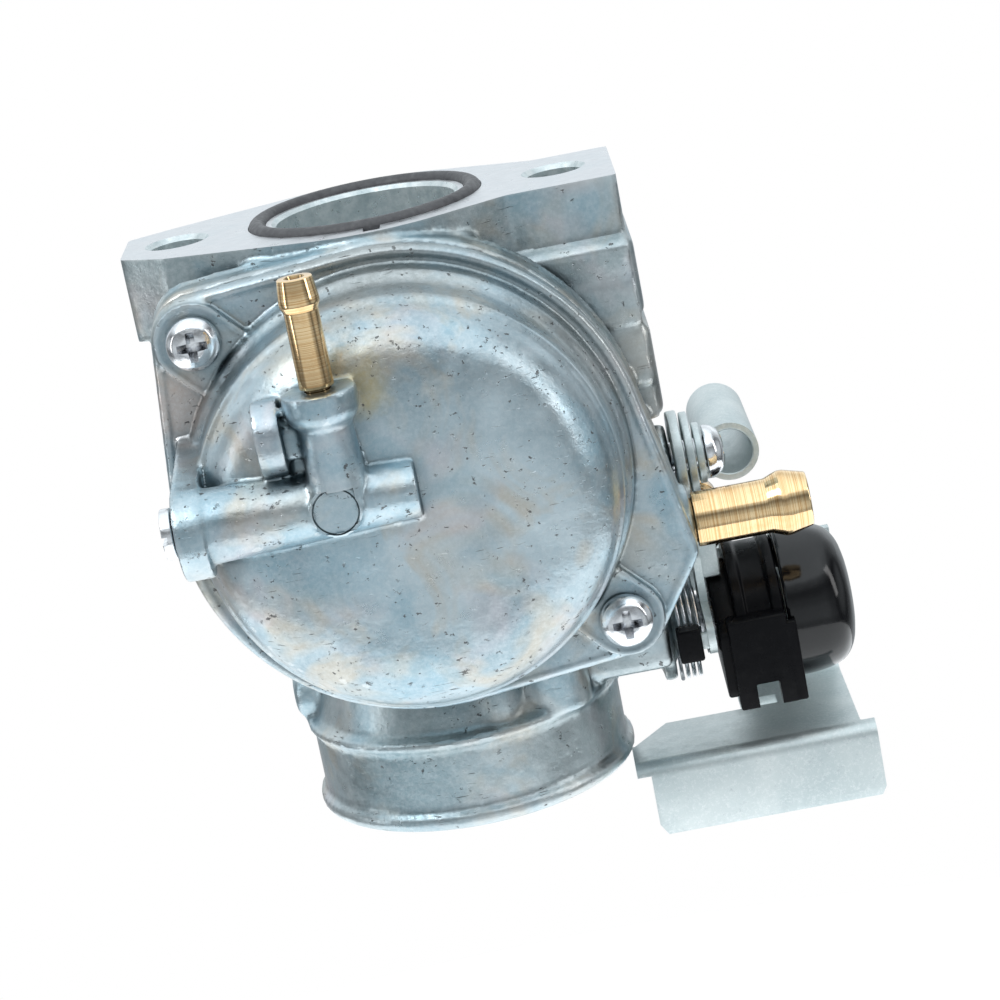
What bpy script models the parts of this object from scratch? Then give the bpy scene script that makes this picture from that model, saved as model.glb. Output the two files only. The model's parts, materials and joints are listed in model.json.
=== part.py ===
"""A small side-float carburetor with a flange joint, a cable drum and a sheet-metal cable bracket.

Lengths in this file are millimetres, and the helpers turn them into metres.
The origin is the centre of the bore on the flange face. +Z points out of the flange along the bore,
-Y points to the float bowl, which hangs down when the carburetor is fitted, and +X to the throttle drum.
"""

import math

import bpy
import bmesh
from mathutils import Matrix, Vector

MM = 0.001

# Bore, flange and spigot
BOLT_SPACING = 48.0
BOLT_HOLE_R = 3.5
FLANGE_R = 18.4
FLANGE_END_R = 7.0
FLANGE_THICK = 7.5
INLET_R = 11.4
VENTURI_R = 9.2
VENTURI_Z = -30.0
THROTTLE_BORE_R = 12.6
SPIGOT_BORE_R = 15.5
SPIGOT_END = -76.6
SPIGOT_R = 19.4
BEAD_R = 20.8
GROOVE_OUTER_R = 14.9
GROOVE_INNER_R = 12.6
GROOVE_DEPTH = 2.0

# Float chamber, seen along Y
BOWL_X = 0.0
BOWL_Z = -30.0
RIM_R = 29.1
EAR_R = 5.2
SCREW_UPPER = (-21.9, -7.8)
SCREW_LOWER = (22.5, -51.6)
GASKET_TOP = -19.9
GASKET_THICK = 0.8
GAP = 0.3
BOWL_FACE = -41.3
BOWL_CAVITY_R = 23.2

# Throttle axis, parallel to X
SHAFT_Z = -61.5
SHAFT_R = 3.0
PLATE_R = 12.25
PLATE_THICK = 1.2

# Float hinge, parallel to X
FLOAT_PIN_Y = -24.4
FLOAT_PIN_Z = -49.9
NEEDLE_Z = -45.5

# Fuel inlet, drain and bracket
INLET_Y = -14.5
INLET_Z = -44.0
DRAIN_Y = -41.2
DRAIN_Z = -25.9
TOWER_X = -7.2
TOWER_Y = -43.2
CLIP_Y = -4.5
CLIP_Z = -38.4
BARREL_X = 39.6
BARREL_Z = -40.2
BARREL_FRONT = -0.3
BARREL_BACK = 21.5
STOP_X = 35.0
STOP_Z = -50.9
BRACKET_TOP = -77.0
BRACKET_THICK = 1.5
LIP_Z = -86.9
BRACKET_SCREWS = (-49.5, -58.5)
BRACKET_SCREW_X = 24.2
LEG_Y = 15.2

# Idle mixture screw and the passage plug, on the side away from the bowl
MIXTURE_X = -9.0
PLUG_X = 4.0
BACK_Z = -49.0

X_AXIS = Vector((1, 0, 0))
Y_AXIS = Vector((0, 1, 0))
Z_AXIS = Vector((0, 0, 1))


def clear_scene():
    """Remove whatever the file opened with."""
    for obj in list(bpy.data.objects):
        bpy.data.objects.remove(obj, do_unlink=True)


def make_material(name, colour, roughness, metallic):
    """One plain surface finish."""
    material = bpy.data.materials.new(name)
    material.use_nodes = True
    shader = material.node_tree.nodes["Principled BSDF"]
    shader.inputs["Base Color"].default_value = (*colour, 1.0)
    shader.inputs["Roughness"].default_value = roughness
    shader.inputs["Metallic"].default_value = metallic
    return material


def make_collection(name, parent):
    """A collection inside another."""
    collection = bpy.data.collections.new(name)
    parent.children.link(collection)
    return collection


clear_scene()
PARTS = make_collection("carburetor", bpy.context.scene.collection)
TOOLS = make_collection("construction", bpy.context.scene.collection)
CAST = make_material("cast_zinc_alloy", (0.55, 0.59, 0.61), 0.38, 1.0)
BRASS = make_material("brass", (0.80, 0.58, 0.29), 0.25, 1.0)
CHROME = make_material("bright_steel", (0.80, 0.80, 0.81), 0.15, 1.0)
ZINC = make_material("zinc_plated_steel", (0.75, 0.79, 0.81), 0.32, 1.0)
RUBBER = make_material("black_rubber", (0.05, 0.05, 0.055), 0.6, 0.0)
BLACK = make_material("black_plastic", (0.012, 0.012, 0.014), 0.28, 0.0)
GASKET = make_material("gasket_fibre", (0.20, 0.20, 0.19), 0.8, 0.0)
NYLON = make_material("black_float_plastic", (0.03, 0.03, 0.032), 0.5, 0.0)


# ---------------------------------------------------------------- shapes

def point(x, y, z):
    """A place in millimetres, as a vector in metres."""
    return Vector((x, y, z)) * MM


def turn_to(axis):
    """The rotation that takes local Z to the axis given."""
    return Z_AXIS.rotation_difference(Vector(axis))


def place(obj, origin, axis=Z_AXIS):
    """Put an object's local origin and Z axis where they belong."""
    obj.location = point(*origin)
    obj.rotation_mode = "QUATERNION"
    obj.rotation_quaternion = turn_to(axis)
    return obj


def from_bmesh(name, shape):
    """Turn a bmesh into an object that is in no collection yet."""
    mesh = bpy.data.meshes.new(name)
    shape.to_mesh(mesh)
    shape.free()
    return bpy.data.objects.new(name, mesh)


def box(name, low, high, bevel=0.0):
    """A box between two corners, with rounded edges if asked for."""
    size = [(b - a) * MM for a, b in zip(low, high)]
    middle = [(a + b) / 2 for a, b in zip(low, high)]
    shape = bmesh.new()
    bmesh.ops.create_cube(shape, size=1.0, matrix=Matrix.Diagonal((*size, 1.0)))
    obj = place(from_bmesh(name, shape), middle)
    if bevel:
        round_edges(obj, bevel)
    return obj


def rod(name, start, end, radius, end_radius=None, segments=24):
    """A round bar or a cone between two points."""
    first, last = point(*start), point(*end)
    length = (last - first).length
    shape = bmesh.new()
    bmesh.ops.create_cone(
        shape, cap_ends=True, segments=segments, depth=length,
        radius1=radius * MM, radius2=(radius if end_radius is None else end_radius) * MM,
    )
    obj = from_bmesh(name, shape)
    middle = (first + last) / (2 * MM)
    return place(obj, middle, (last - first).normalized())


def turned(name, profile, origin, axis, steps=48):
    """A profile of (radius, height) points turned about an axis: outer side first, top to bottom."""
    shape = bmesh.new()
    points = [shape.verts.new((radius * MM, 0.0, height * MM)) for radius, height in profile]
    for first, second in zip(points, points[1:]):
        shape.edges.new((first, second))
    if profile[0][0] > 0:
        shape.edges.new((points[-1], points[0]))
    obj = place(from_bmesh(name, shape), origin, axis)
    screw = obj.modifiers.new("turn", "SCREW")
    screw.axis = "Z"
    screw.angle = 2 * math.pi
    screw.steps = steps
    screw.render_steps = steps
    screw.use_merge_vertices = True
    screw.merge_threshold = 0.00001
    screw.use_smooth_shade = True
    return obj


def to_mesh(curve_object):
    """Replace a curve object by a closed mesh of the same shape."""
    bpy.context.scene.collection.objects.link(curve_object)
    graph = bpy.context.evaluated_depsgraph_get()
    mesh = bpy.data.meshes.new_from_object(curve_object.evaluated_get(graph))
    shape = bmesh.new()
    shape.from_mesh(mesh)
    bmesh.ops.remove_doubles(shape, verts=shape.verts, dist=0.000005)
    bmesh.ops.recalc_face_normals(shape, faces=shape.faces)
    shape.to_mesh(mesh)
    shape.free()
    mesh.materials.clear()
    name, where = curve_object.name, curve_object.matrix_world.copy()
    bpy.data.objects.remove(curve_object, do_unlink=True)
    obj = bpy.data.objects.new(name, mesh)
    obj.matrix_world = where
    return obj


PLANES = {
    "X": Matrix(((0, 0, 1), (1, 0, 0), (0, 1, 0))),
    "Y": Matrix(((1, 0, 0), (0, 0, -1), (0, 1, 0))),
    "Z": Matrix(((1, 0, 0), (0, 1, 0), (0, 0, 1))),
}


def slab(name, outline, low, high, normal, holes=()):
    """A flat plate. The outline is (y, z), (x, z) or (x, y) for a plate across X, Y or Z."""
    curve = bpy.data.curves.new(name, "CURVE")
    curve.dimensions = "2D"
    curve.fill_mode = "BOTH"
    curve.extrude = (high - low) / 2 * MM
    for loop in (outline, *holes):
        spline = curve.splines.new("POLY")
        spline.points.add(len(loop) - 1)
        for target, (u, v) in zip(spline.points, loop):
            target.co = (u * MM, v * MM, 0.0, 1.0)
        spline.use_cyclic_u = True
    obj = bpy.data.objects.new(name, curve)
    middle = (low + high) / 2
    offset = {"X": (middle, 0, 0), "Y": (0, middle, 0), "Z": (0, 0, middle)}[normal]
    obj.matrix_world = Matrix.Translation(point(*offset)) @ PLANES[normal].to_4x4()
    return to_mesh(obj)


def wire(name, points, radius, origin=(0, 0, 0)):
    """Round wire through a list of points that are relative to its origin."""
    curve = bpy.data.curves.new(name, "CURVE")
    curve.dimensions = "3D"
    curve.bevel_depth = radius * MM
    curve.bevel_resolution = 2
    curve.use_fill_caps = True
    spline = curve.splines.new("POLY")
    spline.points.add(len(points) - 1)
    for target, place_on_wire in zip(spline.points, points):
        target.co = (*point(*place_on_wire), 1.0)
    obj = bpy.data.objects.new(name, curve)
    obj.location = point(*origin)
    return obj


def arc(centre, radius, first, last, count):
    """Points on an arc, in degrees."""
    angles = [math.radians(first + (last - first) * i / count) for i in range(count + 1)]
    return [(centre[0] + radius * math.cos(a), centre[1] + radius * math.sin(a)) for a in angles]


def hull(circles, count=20):
    """The outline of a tight band around circles given as (u, v, radius)."""
    points = set()
    for u, v, radius in circles:
        ring = arc((u, v), radius, 0, 360 - 360 / count, count - 1)
        points.update((round(a, 4), round(b, 4)) for a, b in ring)
    ordered = sorted(points)

    def chain(sequence):
        line = []
        for p in sequence:
            while len(line) > 1 and turn(line[-2], line[-1], p) <= 0:
                line.pop()
            line.append(p)
        return line[:-1]

    def turn(a, b, c):
        return (b[0] - a[0]) * (c[1] - a[1]) - (b[1] - a[1]) * (c[0] - a[0])

    return chain(ordered) + chain(reversed(ordered))


def hexagon(across_flats):
    """A hexagon about the origin."""
    return arc((0, 0), across_flats / math.sqrt(3), 0, 300, 5)


def round_edges(obj, width):
    """Round the sharp edges of a shape."""
    bevel = obj.modifiers.new("round", "BEVEL")
    bevel.width = width * MM
    bevel.segments = 2 if width >= 1.0 else 1
    bevel.limit_method = "ANGLE"
    bevel.angle_limit = math.radians(40)
    return obj


def combine(target, operation, shapes):
    """Join shapes to the target or cut them from it, keeping them as hidden tools."""
    name = f"{target.name}_{operation.lower()}"
    group = make_collection(name, TOOLS)
    for shape in shapes:
        group.objects.link(shape)
        shape.hide_render = True
        shape.display_type = "WIRE"
    boolean = target.modifiers.new(operation.lower(), "BOOLEAN")
    boolean.operation = operation
    boolean.operand_type = "COLLECTION"
    boolean.collection = group
    boolean.solver = "EXACT"
    return target


def finish(obj, material, angle=40):
    """Give a sub-part its material and smooth shading, and add it to the model."""
    obj.data.materials.clear()
    obj.data.materials.append(material)
    if obj.type == "MESH":
        obj.data.shade_smooth()
        if len(obj.data.polygons):
            obj.data.set_sharp_from_angle(angle=math.radians(angle))
    PARTS.objects.link(obj)
    return obj


# ---------------------------------------------------------------- casting

def rim_outline(inset=0.0):
    """The outline shared by the casting's lower flange, the gasket and the bowl's flange."""
    return hull([
        (BOWL_X, BOWL_Z, RIM_R - inset),
        (*SCREW_UPPER, EAR_R - inset),
        (*SCREW_LOWER, EAR_R - inset),
        (29.3, -44.6, 3.4 - inset),
    ], 32)


def casting_outside():
    """Everything that the casting is made of, before any hole."""
    half = BOLT_SPACING / 2
    left_end = [(-half - 4.0, -7.0, 3.0), (-half - 4.0, 7.0, 3.0), (-3, 0, 17.2)]
    return [
        slab("flange", hull([(0, 0, FLANGE_R), (half, 0, FLANGE_END_R)], 32), -FLANGE_THICK, 0.0, "Z"),
        slab("flange_left", hull(left_end), -10.8, 0.0, "Z"),
        box("flange_right", (12, -11.4, -7.2), (31.2, 9.0, 0.0), 0.8),
        box("band_upper", (4, -12.2, -13.0), (31.2, 9.5, -7.6), 0.8),
        box("band_middle", (4, -12.6, -18.3), (31.6, 9.5, -13.3), 0.8),
        box("band_lower", (4, -13.4, -25.7), (31.9, 9.5, -18.6), 0.8),
        box("band_foot", (4, -13.8, -31.0), (32.0, 9.5, -26.0), 1.2),
        box("band_core", (4, -11.6, -30.0), (30.8, 9.0, -1.0)),
        slab("left_wall", hull([(-22.4, 0, 6.8), (-4, 0, 15.5)]), -34.0, -6.0, "Z"),
        box("nib", (-30.6, -2.2, -13.4), (-28.0, 2.4, -9.8)),
        slab("bowl_flange", rim_outline(), GASKET_TOP + GAP, -15.0, "Y"),
        rod("chamber_roof", (BOWL_X, -15.5, BOWL_Z), (BOWL_X, -5.0, BOWL_Z), 25.0, 19.0, 24),
        rod("shaft_boss", (-16.0, 0, SHAFT_Z), (26.6, 0, SHAFT_Z), 5.4),
        rod("shaft_boss_cone", (-21.6, 0, SHAFT_Z), (-15.9, 0, SHAFT_Z), 2.9, 5.6, 16),
        rod("spring_seat", (26.3, 0, SHAFT_Z), (27.9, 0, SHAFT_Z), 7.4),
        rod("spring_pilot", (28.0, 0, SHAFT_Z), (31.9, 0, SHAFT_Z), 4.6, 4.6, 16),
        box("shaft_arm", (10, -11.0, SHAFT_Z - 2.6), (27.6, -2.0, SHAFT_Z + 5.0), 1.2),
        rod("passage_boss_left", (4.5, -15.5, -65.2), (4.5, -15.5, -52.0), 3.6, 3.6, 16),
        rod("passage_boss_right", (12.0, -12.8, -65.2), (12.0, -12.8, -50.0), 4.6, 4.6, 16),
        box("passage_web", (5.0, -14.4, -64.6), (11.6, -8.0, -50.0)),
        box("passage_fill", (6.6, -16.4, -56.0), (9.4, -12.0, -50.0)),
        rod("passage_boss_small", (0.2, -15.5, -63.6), (0.2, -15.5, -54.0), 2.6, 2.6, 20),
        rod("inlet_boss", (10.0, INLET_Y, INLET_Z), (32.8, INLET_Y, INLET_Z), 5.0, 4.8, 16),
        rod("clip_boss", (10.0, CLIP_Y, CLIP_Z), (31.8, CLIP_Y, CLIP_Z), 5.6, 4.4, 16),
        rod("side_boss", (10.0, -1.0, -29.0), (31.6, -1.0, -30.6), 6.0, 3.0, 16),
        box("stop_lug", (12.0, 5.0, -53.0), (37.6, 9.4, -47.6), 1.0),
        *[rod(f"bracket_boss_{i}", (BRACKET_SCREW_X, 1.0, z), (BRACKET_SCREW_X, 14.2, z), 4.0, 4.0, 24)
          for i, z in enumerate(BRACKET_SCREWS)],
        box("bracket_web", (10.0, 2.0, -60.5), (25.5, 10.5, -46.5), 1.0),
        rod("mixture_boss", (MIXTURE_X, 9.0, BACK_Z), (MIXTURE_X, 19.4, BACK_Z), 4.2, 4.0, 16),
        rod("plug_boss", (PLUG_X, 9.0, BACK_Z), (PLUG_X, 18.6, BACK_Z), 5.2, 5.0, 16),
        box("top_rail", (-12.0, 8.0, -46.0), (12.0, 17.4, -12.0), 2.0),
        rod("jet_pillar", (0, -19.0, BOWL_Z), (0, -33.0, BOWL_Z), 4.2, 4.2, 16),
        rod("pilot_pillar", (-5.6, -19.0, BOWL_Z), (-5.6, -29.0, BOWL_Z), 2.6, 2.6, 20),
        rod("seat_boss", (0, -18.0, NEEDLE_Z), (0, -22.3, NEEDLE_Z), 4.7, 4.7, 16),
        *[box(f"pin_post_{i}", (x - 0.9, -26.2, FLOAT_PIN_Z - 1.5), (x + 0.9, -19.0, FLOAT_PIN_Z + 1.9))
          for i, x in enumerate((-6.5, 6.5))],
    ]


def bore_profile():
    """The passage from the flange to the spigot as (radius, z), top to bottom."""
    return [
        (0, 1.0),
        (INLET_R + 0.5, 1.0),
        (INLET_R + 0.5, 0.0),
        (INLET_R, -0.6),
        (INLET_R, -6.0),
        (10.2, -17.0),
        (VENTURI_R, VENTURI_Z + 3),
        (VENTURI_R, VENTURI_Z - 3),
        (THROTTLE_BORE_R, -47.0),
        (THROTTLE_BORE_R, -69.5),
        (SPIGOT_BORE_R, -71.0),
        (SPIGOT_BORE_R + 0.3, -76.0),
        (SPIGOT_BORE_R + 1.0, SPIGOT_END),
        (SPIGOT_BORE_R + 1.0, SPIGOT_END - 1),
        (0, SPIGOT_END - 1),
    ]


def casting_holes():
    """Everything that is drilled, turned or milled out of the casting."""
    half = BOLT_SPACING / 2
    groove = [(GROOVE_OUTER_R, 1.0), (GROOVE_OUTER_R, -GROOVE_DEPTH),
              (GROOVE_INNER_R, -GROOVE_DEPTH), (GROOVE_INNER_R, 1.0)]
    return [
        turned("bore", bore_profile(), (0, 0, 0), Z_AXIS, 32),
        turned("ring_groove", groove, (0, 0, 0), Z_AXIS, 32),
        *[rod(f"bolt_hole_{i}", (x, 0, 1), (x, 0, -12), BOLT_HOLE_R) for i, x in enumerate((-half, half))],
        box("groove_nick", (0.0, -17.5, -1.2), (2.0, -14.4, 1.0)),
        box("nut_relief_left", (-half - 6.6, -5.6, -36.0), (-half + 4.6, 5.6, -11.2), 1.0),
        rod("nut_relief_right", (half, 0, -37), (half, 0, -11.2), 5.4, 5.4, 16),
        rod("shaft_hole", (-18.9, 0, SHAFT_Z), (33, 0, SHAFT_Z), SHAFT_R + GAP + 0.05, None, 16),
        *[rod(f"bowl_screw_hole_{i}", (x, -21, z), (x, -9, z), 2.3, None, 20)
          for i, (x, z) in enumerate((SCREW_UPPER, SCREW_LOWER))],
        rod("inlet_counterbore", (25.0, INLET_Y, INLET_Z), (34, INLET_Y, INLET_Z), 3.15, None, 16),
        rod("fuel_gallery", (-1.0, INLET_Y, INLET_Z - 0.6), (26, INLET_Y, INLET_Z), 1.6, None, 16),
        rod("seat_hole", (0, -23.0, NEEDLE_Z), (0, INLET_Y, NEEDLE_Z), 3.3, None, 16),
        rod("nozzle_hole", (0, -34, BOWL_Z), (0, -5, BOWL_Z), 2.2, None, 20),
        rod("pilot_hole", (-5.6, -30, BOWL_Z), (-5.6, -20.5, BOWL_Z), 1.6, None, 16),
        rod("pin_hole", (-10, FLOAT_PIN_Y, FLOAT_PIN_Z), (10, FLOAT_PIN_Y, FLOAT_PIN_Z), 1.05, None, 16),
        rod("clip_screw_hole", (24, CLIP_Y, CLIP_Z), (33, CLIP_Y, CLIP_Z), 2.3, None, 20),
        rod("stop_screw_hole", (STOP_X, 3, STOP_Z), (STOP_X, 11, STOP_Z), 1.65, None, 20),
        *[rod(f"bracket_screw_hole_{i}", (BRACKET_SCREW_X, 4.0, z), (BRACKET_SCREW_X, 15.0, z), 2.3, None, 20)
          for i, z in enumerate(BRACKET_SCREWS)],
        rod("mixture_hole", (MIXTURE_X, 12.0, BACK_Z), (MIXTURE_X, 20.0, BACK_Z), 2.3, None, 20),
        rod("plug_hole", (PLUG_X, 16.0, BACK_Z), (PLUG_X, 20.0, BACK_Z), 4.0, None, 16),
    ]


def throttle_body():
    """The main casting: flange, bore, spigot, float chamber roof and bosses."""
    barrel = turned("throttle_body", [
        (0, -1.0),
        (16.6, -1.0),
        (16.6, -52.0),
        (18.2, -60.0),
        (SPIGOT_R, -64.6),
        (BEAD_R, -65.3),
        (BEAD_R, -66.4),
        (SPIGOT_R, -67.2),
        (SPIGOT_R - 0.2, -73.6),
        (BEAD_R, -74.6),
        (BEAD_R, -75.9),
        (BEAD_R - 0.7, SPIGOT_END),
        (0, SPIGOT_END),
    ], (0, 0, 0), Z_AXIS, 40)
    combine(barrel, "UNION", casting_outside())
    combine(barrel, "DIFFERENCE", casting_holes())
    return finish(barrel, CAST)


def flange_o_ring():
    """Rubber ring in the flange's groove."""
    middle = (GROOVE_INNER_R + GROOVE_OUTER_R) / 2
    section = arc((middle, -1.0), 0.85, 90, -210, 5)
    return finish(turned("flange_o_ring", section, (0, 0, 0), Z_AXIS, 32), RUBBER)


def body_plug():
    """Disc that closes the drilled passage on the side away from the bowl."""
    return finish(turned("body_plug", [(0, 18.9), (3.4, 18.7), (3.7, 18.3), (3.7, 16.4), (0, 16.4)],
                         (PLUG_X, 0, BACK_Z), Y_AXIS, 24), BRASS)


# ---------------------------------------------------------------- float bowl

def bowl_outside():
    """Walls, ears and the drain boss, joined to the bowl's flange."""
    wall = [
        (0, -BOWL_FACE),
        (16.0, -BOWL_FACE - 0.25),
        (21.2, -BOWL_FACE - 0.9),
        (23.2, -BOWL_FACE - 2.2),
        (24.2, -BOWL_FACE - 4.2),
        (24.7, 35.2),
        (25.3, 34.6),
        (25.5, 29.0),
        (26.0, 27.8),
        (26.6, 25.6),
        (26.6, 22.5),
        (0, 22.5),
    ]
    collar = (DRAIN_Y + 0.6, DRAIN_Z - 0.6)
    return [
        turned("bowl_wall", wall, (BOWL_X, 0, BOWL_Z), -Y_AXIS, 40),
        slab("ear_upper", hull([(*SCREW_UPPER, 4.8), (-15.6, -14.4, 7.5)]), -25.0, -22.0, "Y"),
        slab("ear_lower", hull([(*SCREW_LOWER, 4.8), (16.2, -46.0, 7.5)]), -25.0, -22.0, "Y"),
        rod("drain_boss", (-23.6, DRAIN_Y, DRAIN_Z), (1.6, DRAIN_Y, DRAIN_Z), 4.5, 3.4),
        rod("drain_collar", (-26.6, *collar), (-23.2, *collar), 5.5),
        rod("plug_pad", (-7.9, -38.6, DRAIN_Z), (-7.9, -45.5, DRAIN_Z), 3.3, 3.1, 16),
        slab("drain_gusset", hull([(*collar, 5.45), (-24.0, -20.1, 0.8)]), -26.5, -23.3, "X"),
        rod("drain_tower", (TOWER_X, TOWER_Y + 0.8, DRAIN_Z), (TOWER_X, TOWER_Y, -15.0), 3.7, 3.2, 16),
        turned("tower_collar", [(0, -11.9), (4.4, -11.9), (4.3, -14.6), (3.1, -16.2), (0, -16.2)],
               (TOWER_X, TOWER_Y, 0), Z_AXIS, 16),
        slab("tower_web", [(-5.2, -19.6), (-2.4, -23.2), (-5.2, -24.5)], -43.6, -40.0, "Y"),
        rod("lug", (-15.4, -41.0, -17.0), (-12.3, -41.0, -17.0), 4.45, 4.45, 24),
        box("lug_arm", (-13.0, -43.4, -19.6), (-8.0, -39.6, -15.6), 0.6),
    ]


def bowl_hollows():
    """The float chamber, the screw holes and the drain passages."""
    cavity = [(0, 38.7), (20.5, 38.5), (22.4, 37.2), (BOWL_CAVITY_R, 35.0), (BOWL_CAVITY_R, 19.0), (0, 19.0)]
    return [
        turned("cavity", cavity, (BOWL_X, 0, BOWL_Z), -Y_AXIS, 32),
        *[rod(f"screw_hole_{i}", (x, -20, z), (x, -27, z), 2.3, None, 20)
          for i, (x, z) in enumerate((SCREW_UPPER, SCREW_LOWER))],
        rod("drain_hole", (-28.0, DRAIN_Y, DRAIN_Z), (-5.6, DRAIN_Y, DRAIN_Z), 1.9, None, 20),
        rod("drain_port", (-16.0, -37.5, DRAIN_Z), (-16.0, DRAIN_Y, DRAIN_Z), 1.0, None, 12),
        rod("nozzle_hole", (TOWER_X, TOWER_Y - 0.2, -11.0), (TOWER_X, TOWER_Y - 0.2, DRAIN_Z + 0.5), 1.75,
            None, 16),
        rod("plug_recess", (-7.9, -44.6, DRAIN_Z), (-7.9, -46.5, DRAIN_Z), 2.85, None, 16),
        box("face_pocket", (-21.3, -44.0, -21.0), (-15.4, -40.0, -12.0), 0.6),
    ]


def float_bowl():
    """The cup with its flange, two screw ears and the drain boss."""
    flange_back = GASKET_TOP - GASKET_THICK - GAP
    bowl = slab("float_bowl", rim_outline(), -23.7, flange_back, "Y")
    combine(bowl, "UNION", bowl_outside())
    combine(bowl, "DIFFERENCE", bowl_hollows())
    return finish(bowl, CAST)


def bowl_gasket():
    """Flat gasket between the casting and the bowl."""
    holes = [arc((BOWL_X, BOWL_Z), 23.6, 0, 352, 44)]
    holes += [arc(centre, 2.4, 0, 337.5, 15) for centre in (SCREW_UPPER, SCREW_LOWER)]
    gasket = slab("bowl_gasket", rim_outline(0.4), GASKET_TOP - GASKET_THICK, GASKET_TOP, "Y", holes)
    return finish(gasket, GASKET)


def drain_nozzle():
    """Brass hose nozzle pressed into the drain tower."""
    profile = [
        (1.1, 1.3), (2.05, 1.3), (2.35, -1.2), (2.35, -1.8), (2.05, -2.5),
        (2.05, -11.5), (1.4, -11.5), (1.4, -17.0), (0.8, -17.0), (0.8, 0.5),
    ]
    return finish(turned("drain_nozzle", profile, (TOWER_X, TOWER_Y - 0.2, 0), Z_AXIS, 24), BRASS)


def drain_plug():
    """Pressed plug on the front of the drain boss."""
    profile = [(0, 45.3), (2.2, 45.25), (2.5, 44.95), (2.5, 44.9), (0, 44.9)]
    return finish(turned("drain_plug", profile, (-7.9, 0, DRAIN_Z), -Y_AXIS, 24), CAST)


# ---------------------------------------------------------------- screws

def pan_screw(name, seat, axis, head_r, shank_r, length, material=CHROME):
    """Pan-head screw with a cross recess. The seat is where the head's underside lies."""
    height = head_r * 0.72
    profile = [
        (0, height), (head_r * 0.75, height * 0.86), (head_r, height * 0.35), (head_r, 0),
        (shank_r, 0), (shank_r, -length), (0, -length),
    ]
    screw = turned(name, profile, seat, axis, 16)
    middle = Vector(seat) + Vector(axis) * height
    blades = []
    for i in range(2):
        reach = head_r * 0.56
        size = [head_r * 0.15, reach, height * 0.62]
        if i:
            size[0], size[1] = size[1], size[0]
        low, high = [-s for s in size], size
        blade = box(f"{name}_recess_{i}", low, high)
        place(blade, middle, axis)
        blades.append(blade)
    combine(screw, "DIFFERENCE", blades)
    return finish(screw, material)


def bowl_screws():
    """The two screws that hold the bowl, on a diagonal."""
    pan_screw("bowl_screw_upper", (SCREW_UPPER[0], -25.0 - GAP, SCREW_UPPER[1]), -Y_AXIS, 3.35, 1.95, 14.0)
    pan_screw("bowl_screw_lower", (SCREW_LOWER[0], -25.0 - GAP, SCREW_LOWER[1]), -Y_AXIS, 3.35, 1.95, 14.0)


def drain_screw():
    """Cheese-head drain screw with a screwdriver slot, its point closing the drain."""
    profile = [
        (0, 28.2), (2.6, 28.2), (3.0, 27.9), (3.0, 26.9), (1.55, 26.9),
        (1.55, 17.5), (0.3, 15.4), (0, 15.4),
    ]
    screw = turned("drain_screw", profile, (0, DRAIN_Y, DRAIN_Z), -X_AXIS, 24)
    combine(screw, "DIFFERENCE", [
        box("drain_slot", (-29.0, DRAIN_Y - 4, DRAIN_Z - 0.45), (-27.5, DRAIN_Y + 4, DRAIN_Z + 0.45)),
    ])
    return finish(screw, CHROME)


# ---------------------------------------------------------------- fuel side

def fuel_inlet():
    """Brass hose nozzle for the fuel hose."""
    profile = [
        (2.1, 47.6), (3.3, 47.6), (4.1, 44.8), (4.1, 44.1), (3.45, 42.4), (3.45, 33.1),
        (2.8, 33.1), (2.8, 26.2), (1.5, 26.2), (1.5, 36.0), (2.1, 37.0),
    ]
    return finish(turned("fuel_inlet", profile, (0, INLET_Y, INLET_Z), X_AXIS, 24), BRASS)


def needle_seat():
    """Brass seat that the float needle closes."""
    profile = [(0.8, -16.5), (3.0, -16.5), (3.0, -22.6), (1.95, -22.6), (1.95, -18.9), (0.8, -17.7)]
    return finish(turned("needle_seat", profile, (0, 0, NEEDLE_Z), Y_AXIS, 24), BRASS)


def float_needle():
    """Needle valve with its cone at the seat."""
    profile = [(0, -17.5), (0.45, -17.6), (1.5, -19.3), (1.5, -24.0), (1.0, -24.5), (0, -24.5)]
    return finish(turned("float_needle", profile, (0, 0, NEEDLE_Z), Y_AXIS, 20), CHROME)


def fuel_float():
    """Horseshoe float with its arms and hinge tube."""
    outer = arc((BOWL_X, BOWL_Z), 21.4, -48, 228, 30)
    inner = arc((BOWL_X, BOWL_Z), 10.0, 228, -48, 22)
    body = slab("float", outer + inner, -32.6, -25.4, "Y")
    combine(body, "UNION", [
        box("float_bridge", (-13.0, -27.2, -44.3), (13.0, -25.0, -40.6)),
        box("float_arm", (-4.9, -26.4, FLOAT_PIN_Z - 0.6), (4.9, -24.9, -41.0)),
        rod("hinge_tube", (-5.3, FLOAT_PIN_Y, FLOAT_PIN_Z), (5.3, FLOAT_PIN_Y, FLOAT_PIN_Z), 1.7, 1.7, 16),
    ])
    combine(body, "DIFFERENCE", [
        rod("hinge_hole", (-7, FLOAT_PIN_Y, FLOAT_PIN_Z), (7, FLOAT_PIN_Y, FLOAT_PIN_Z), 1.05, 1.05, 16),
    ])
    return finish(body, NYLON)


def float_pin():
    """Steel pin that the float hangs on."""
    pin = rod("float_pin", (-7.8, FLOAT_PIN_Y, FLOAT_PIN_Z), (7.8, FLOAT_PIN_Y, FLOAT_PIN_Z), 0.75, None, 16)
    return finish(pin, CHROME)


def main_jet():
    """Hexagon jet below the main nozzle."""
    jet = slab("main_jet", hexagon(5.0), -1.5, 1.5, "Z")
    place(jet, (0, -35.4, BOWL_Z), Y_AXIS)
    combine(jet, "DIFFERENCE", [rod("jet_bore", (0, -38, BOWL_Z), (0, -33, BOWL_Z), 0.7, None, 12)])
    return finish(jet, BRASS)


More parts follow.
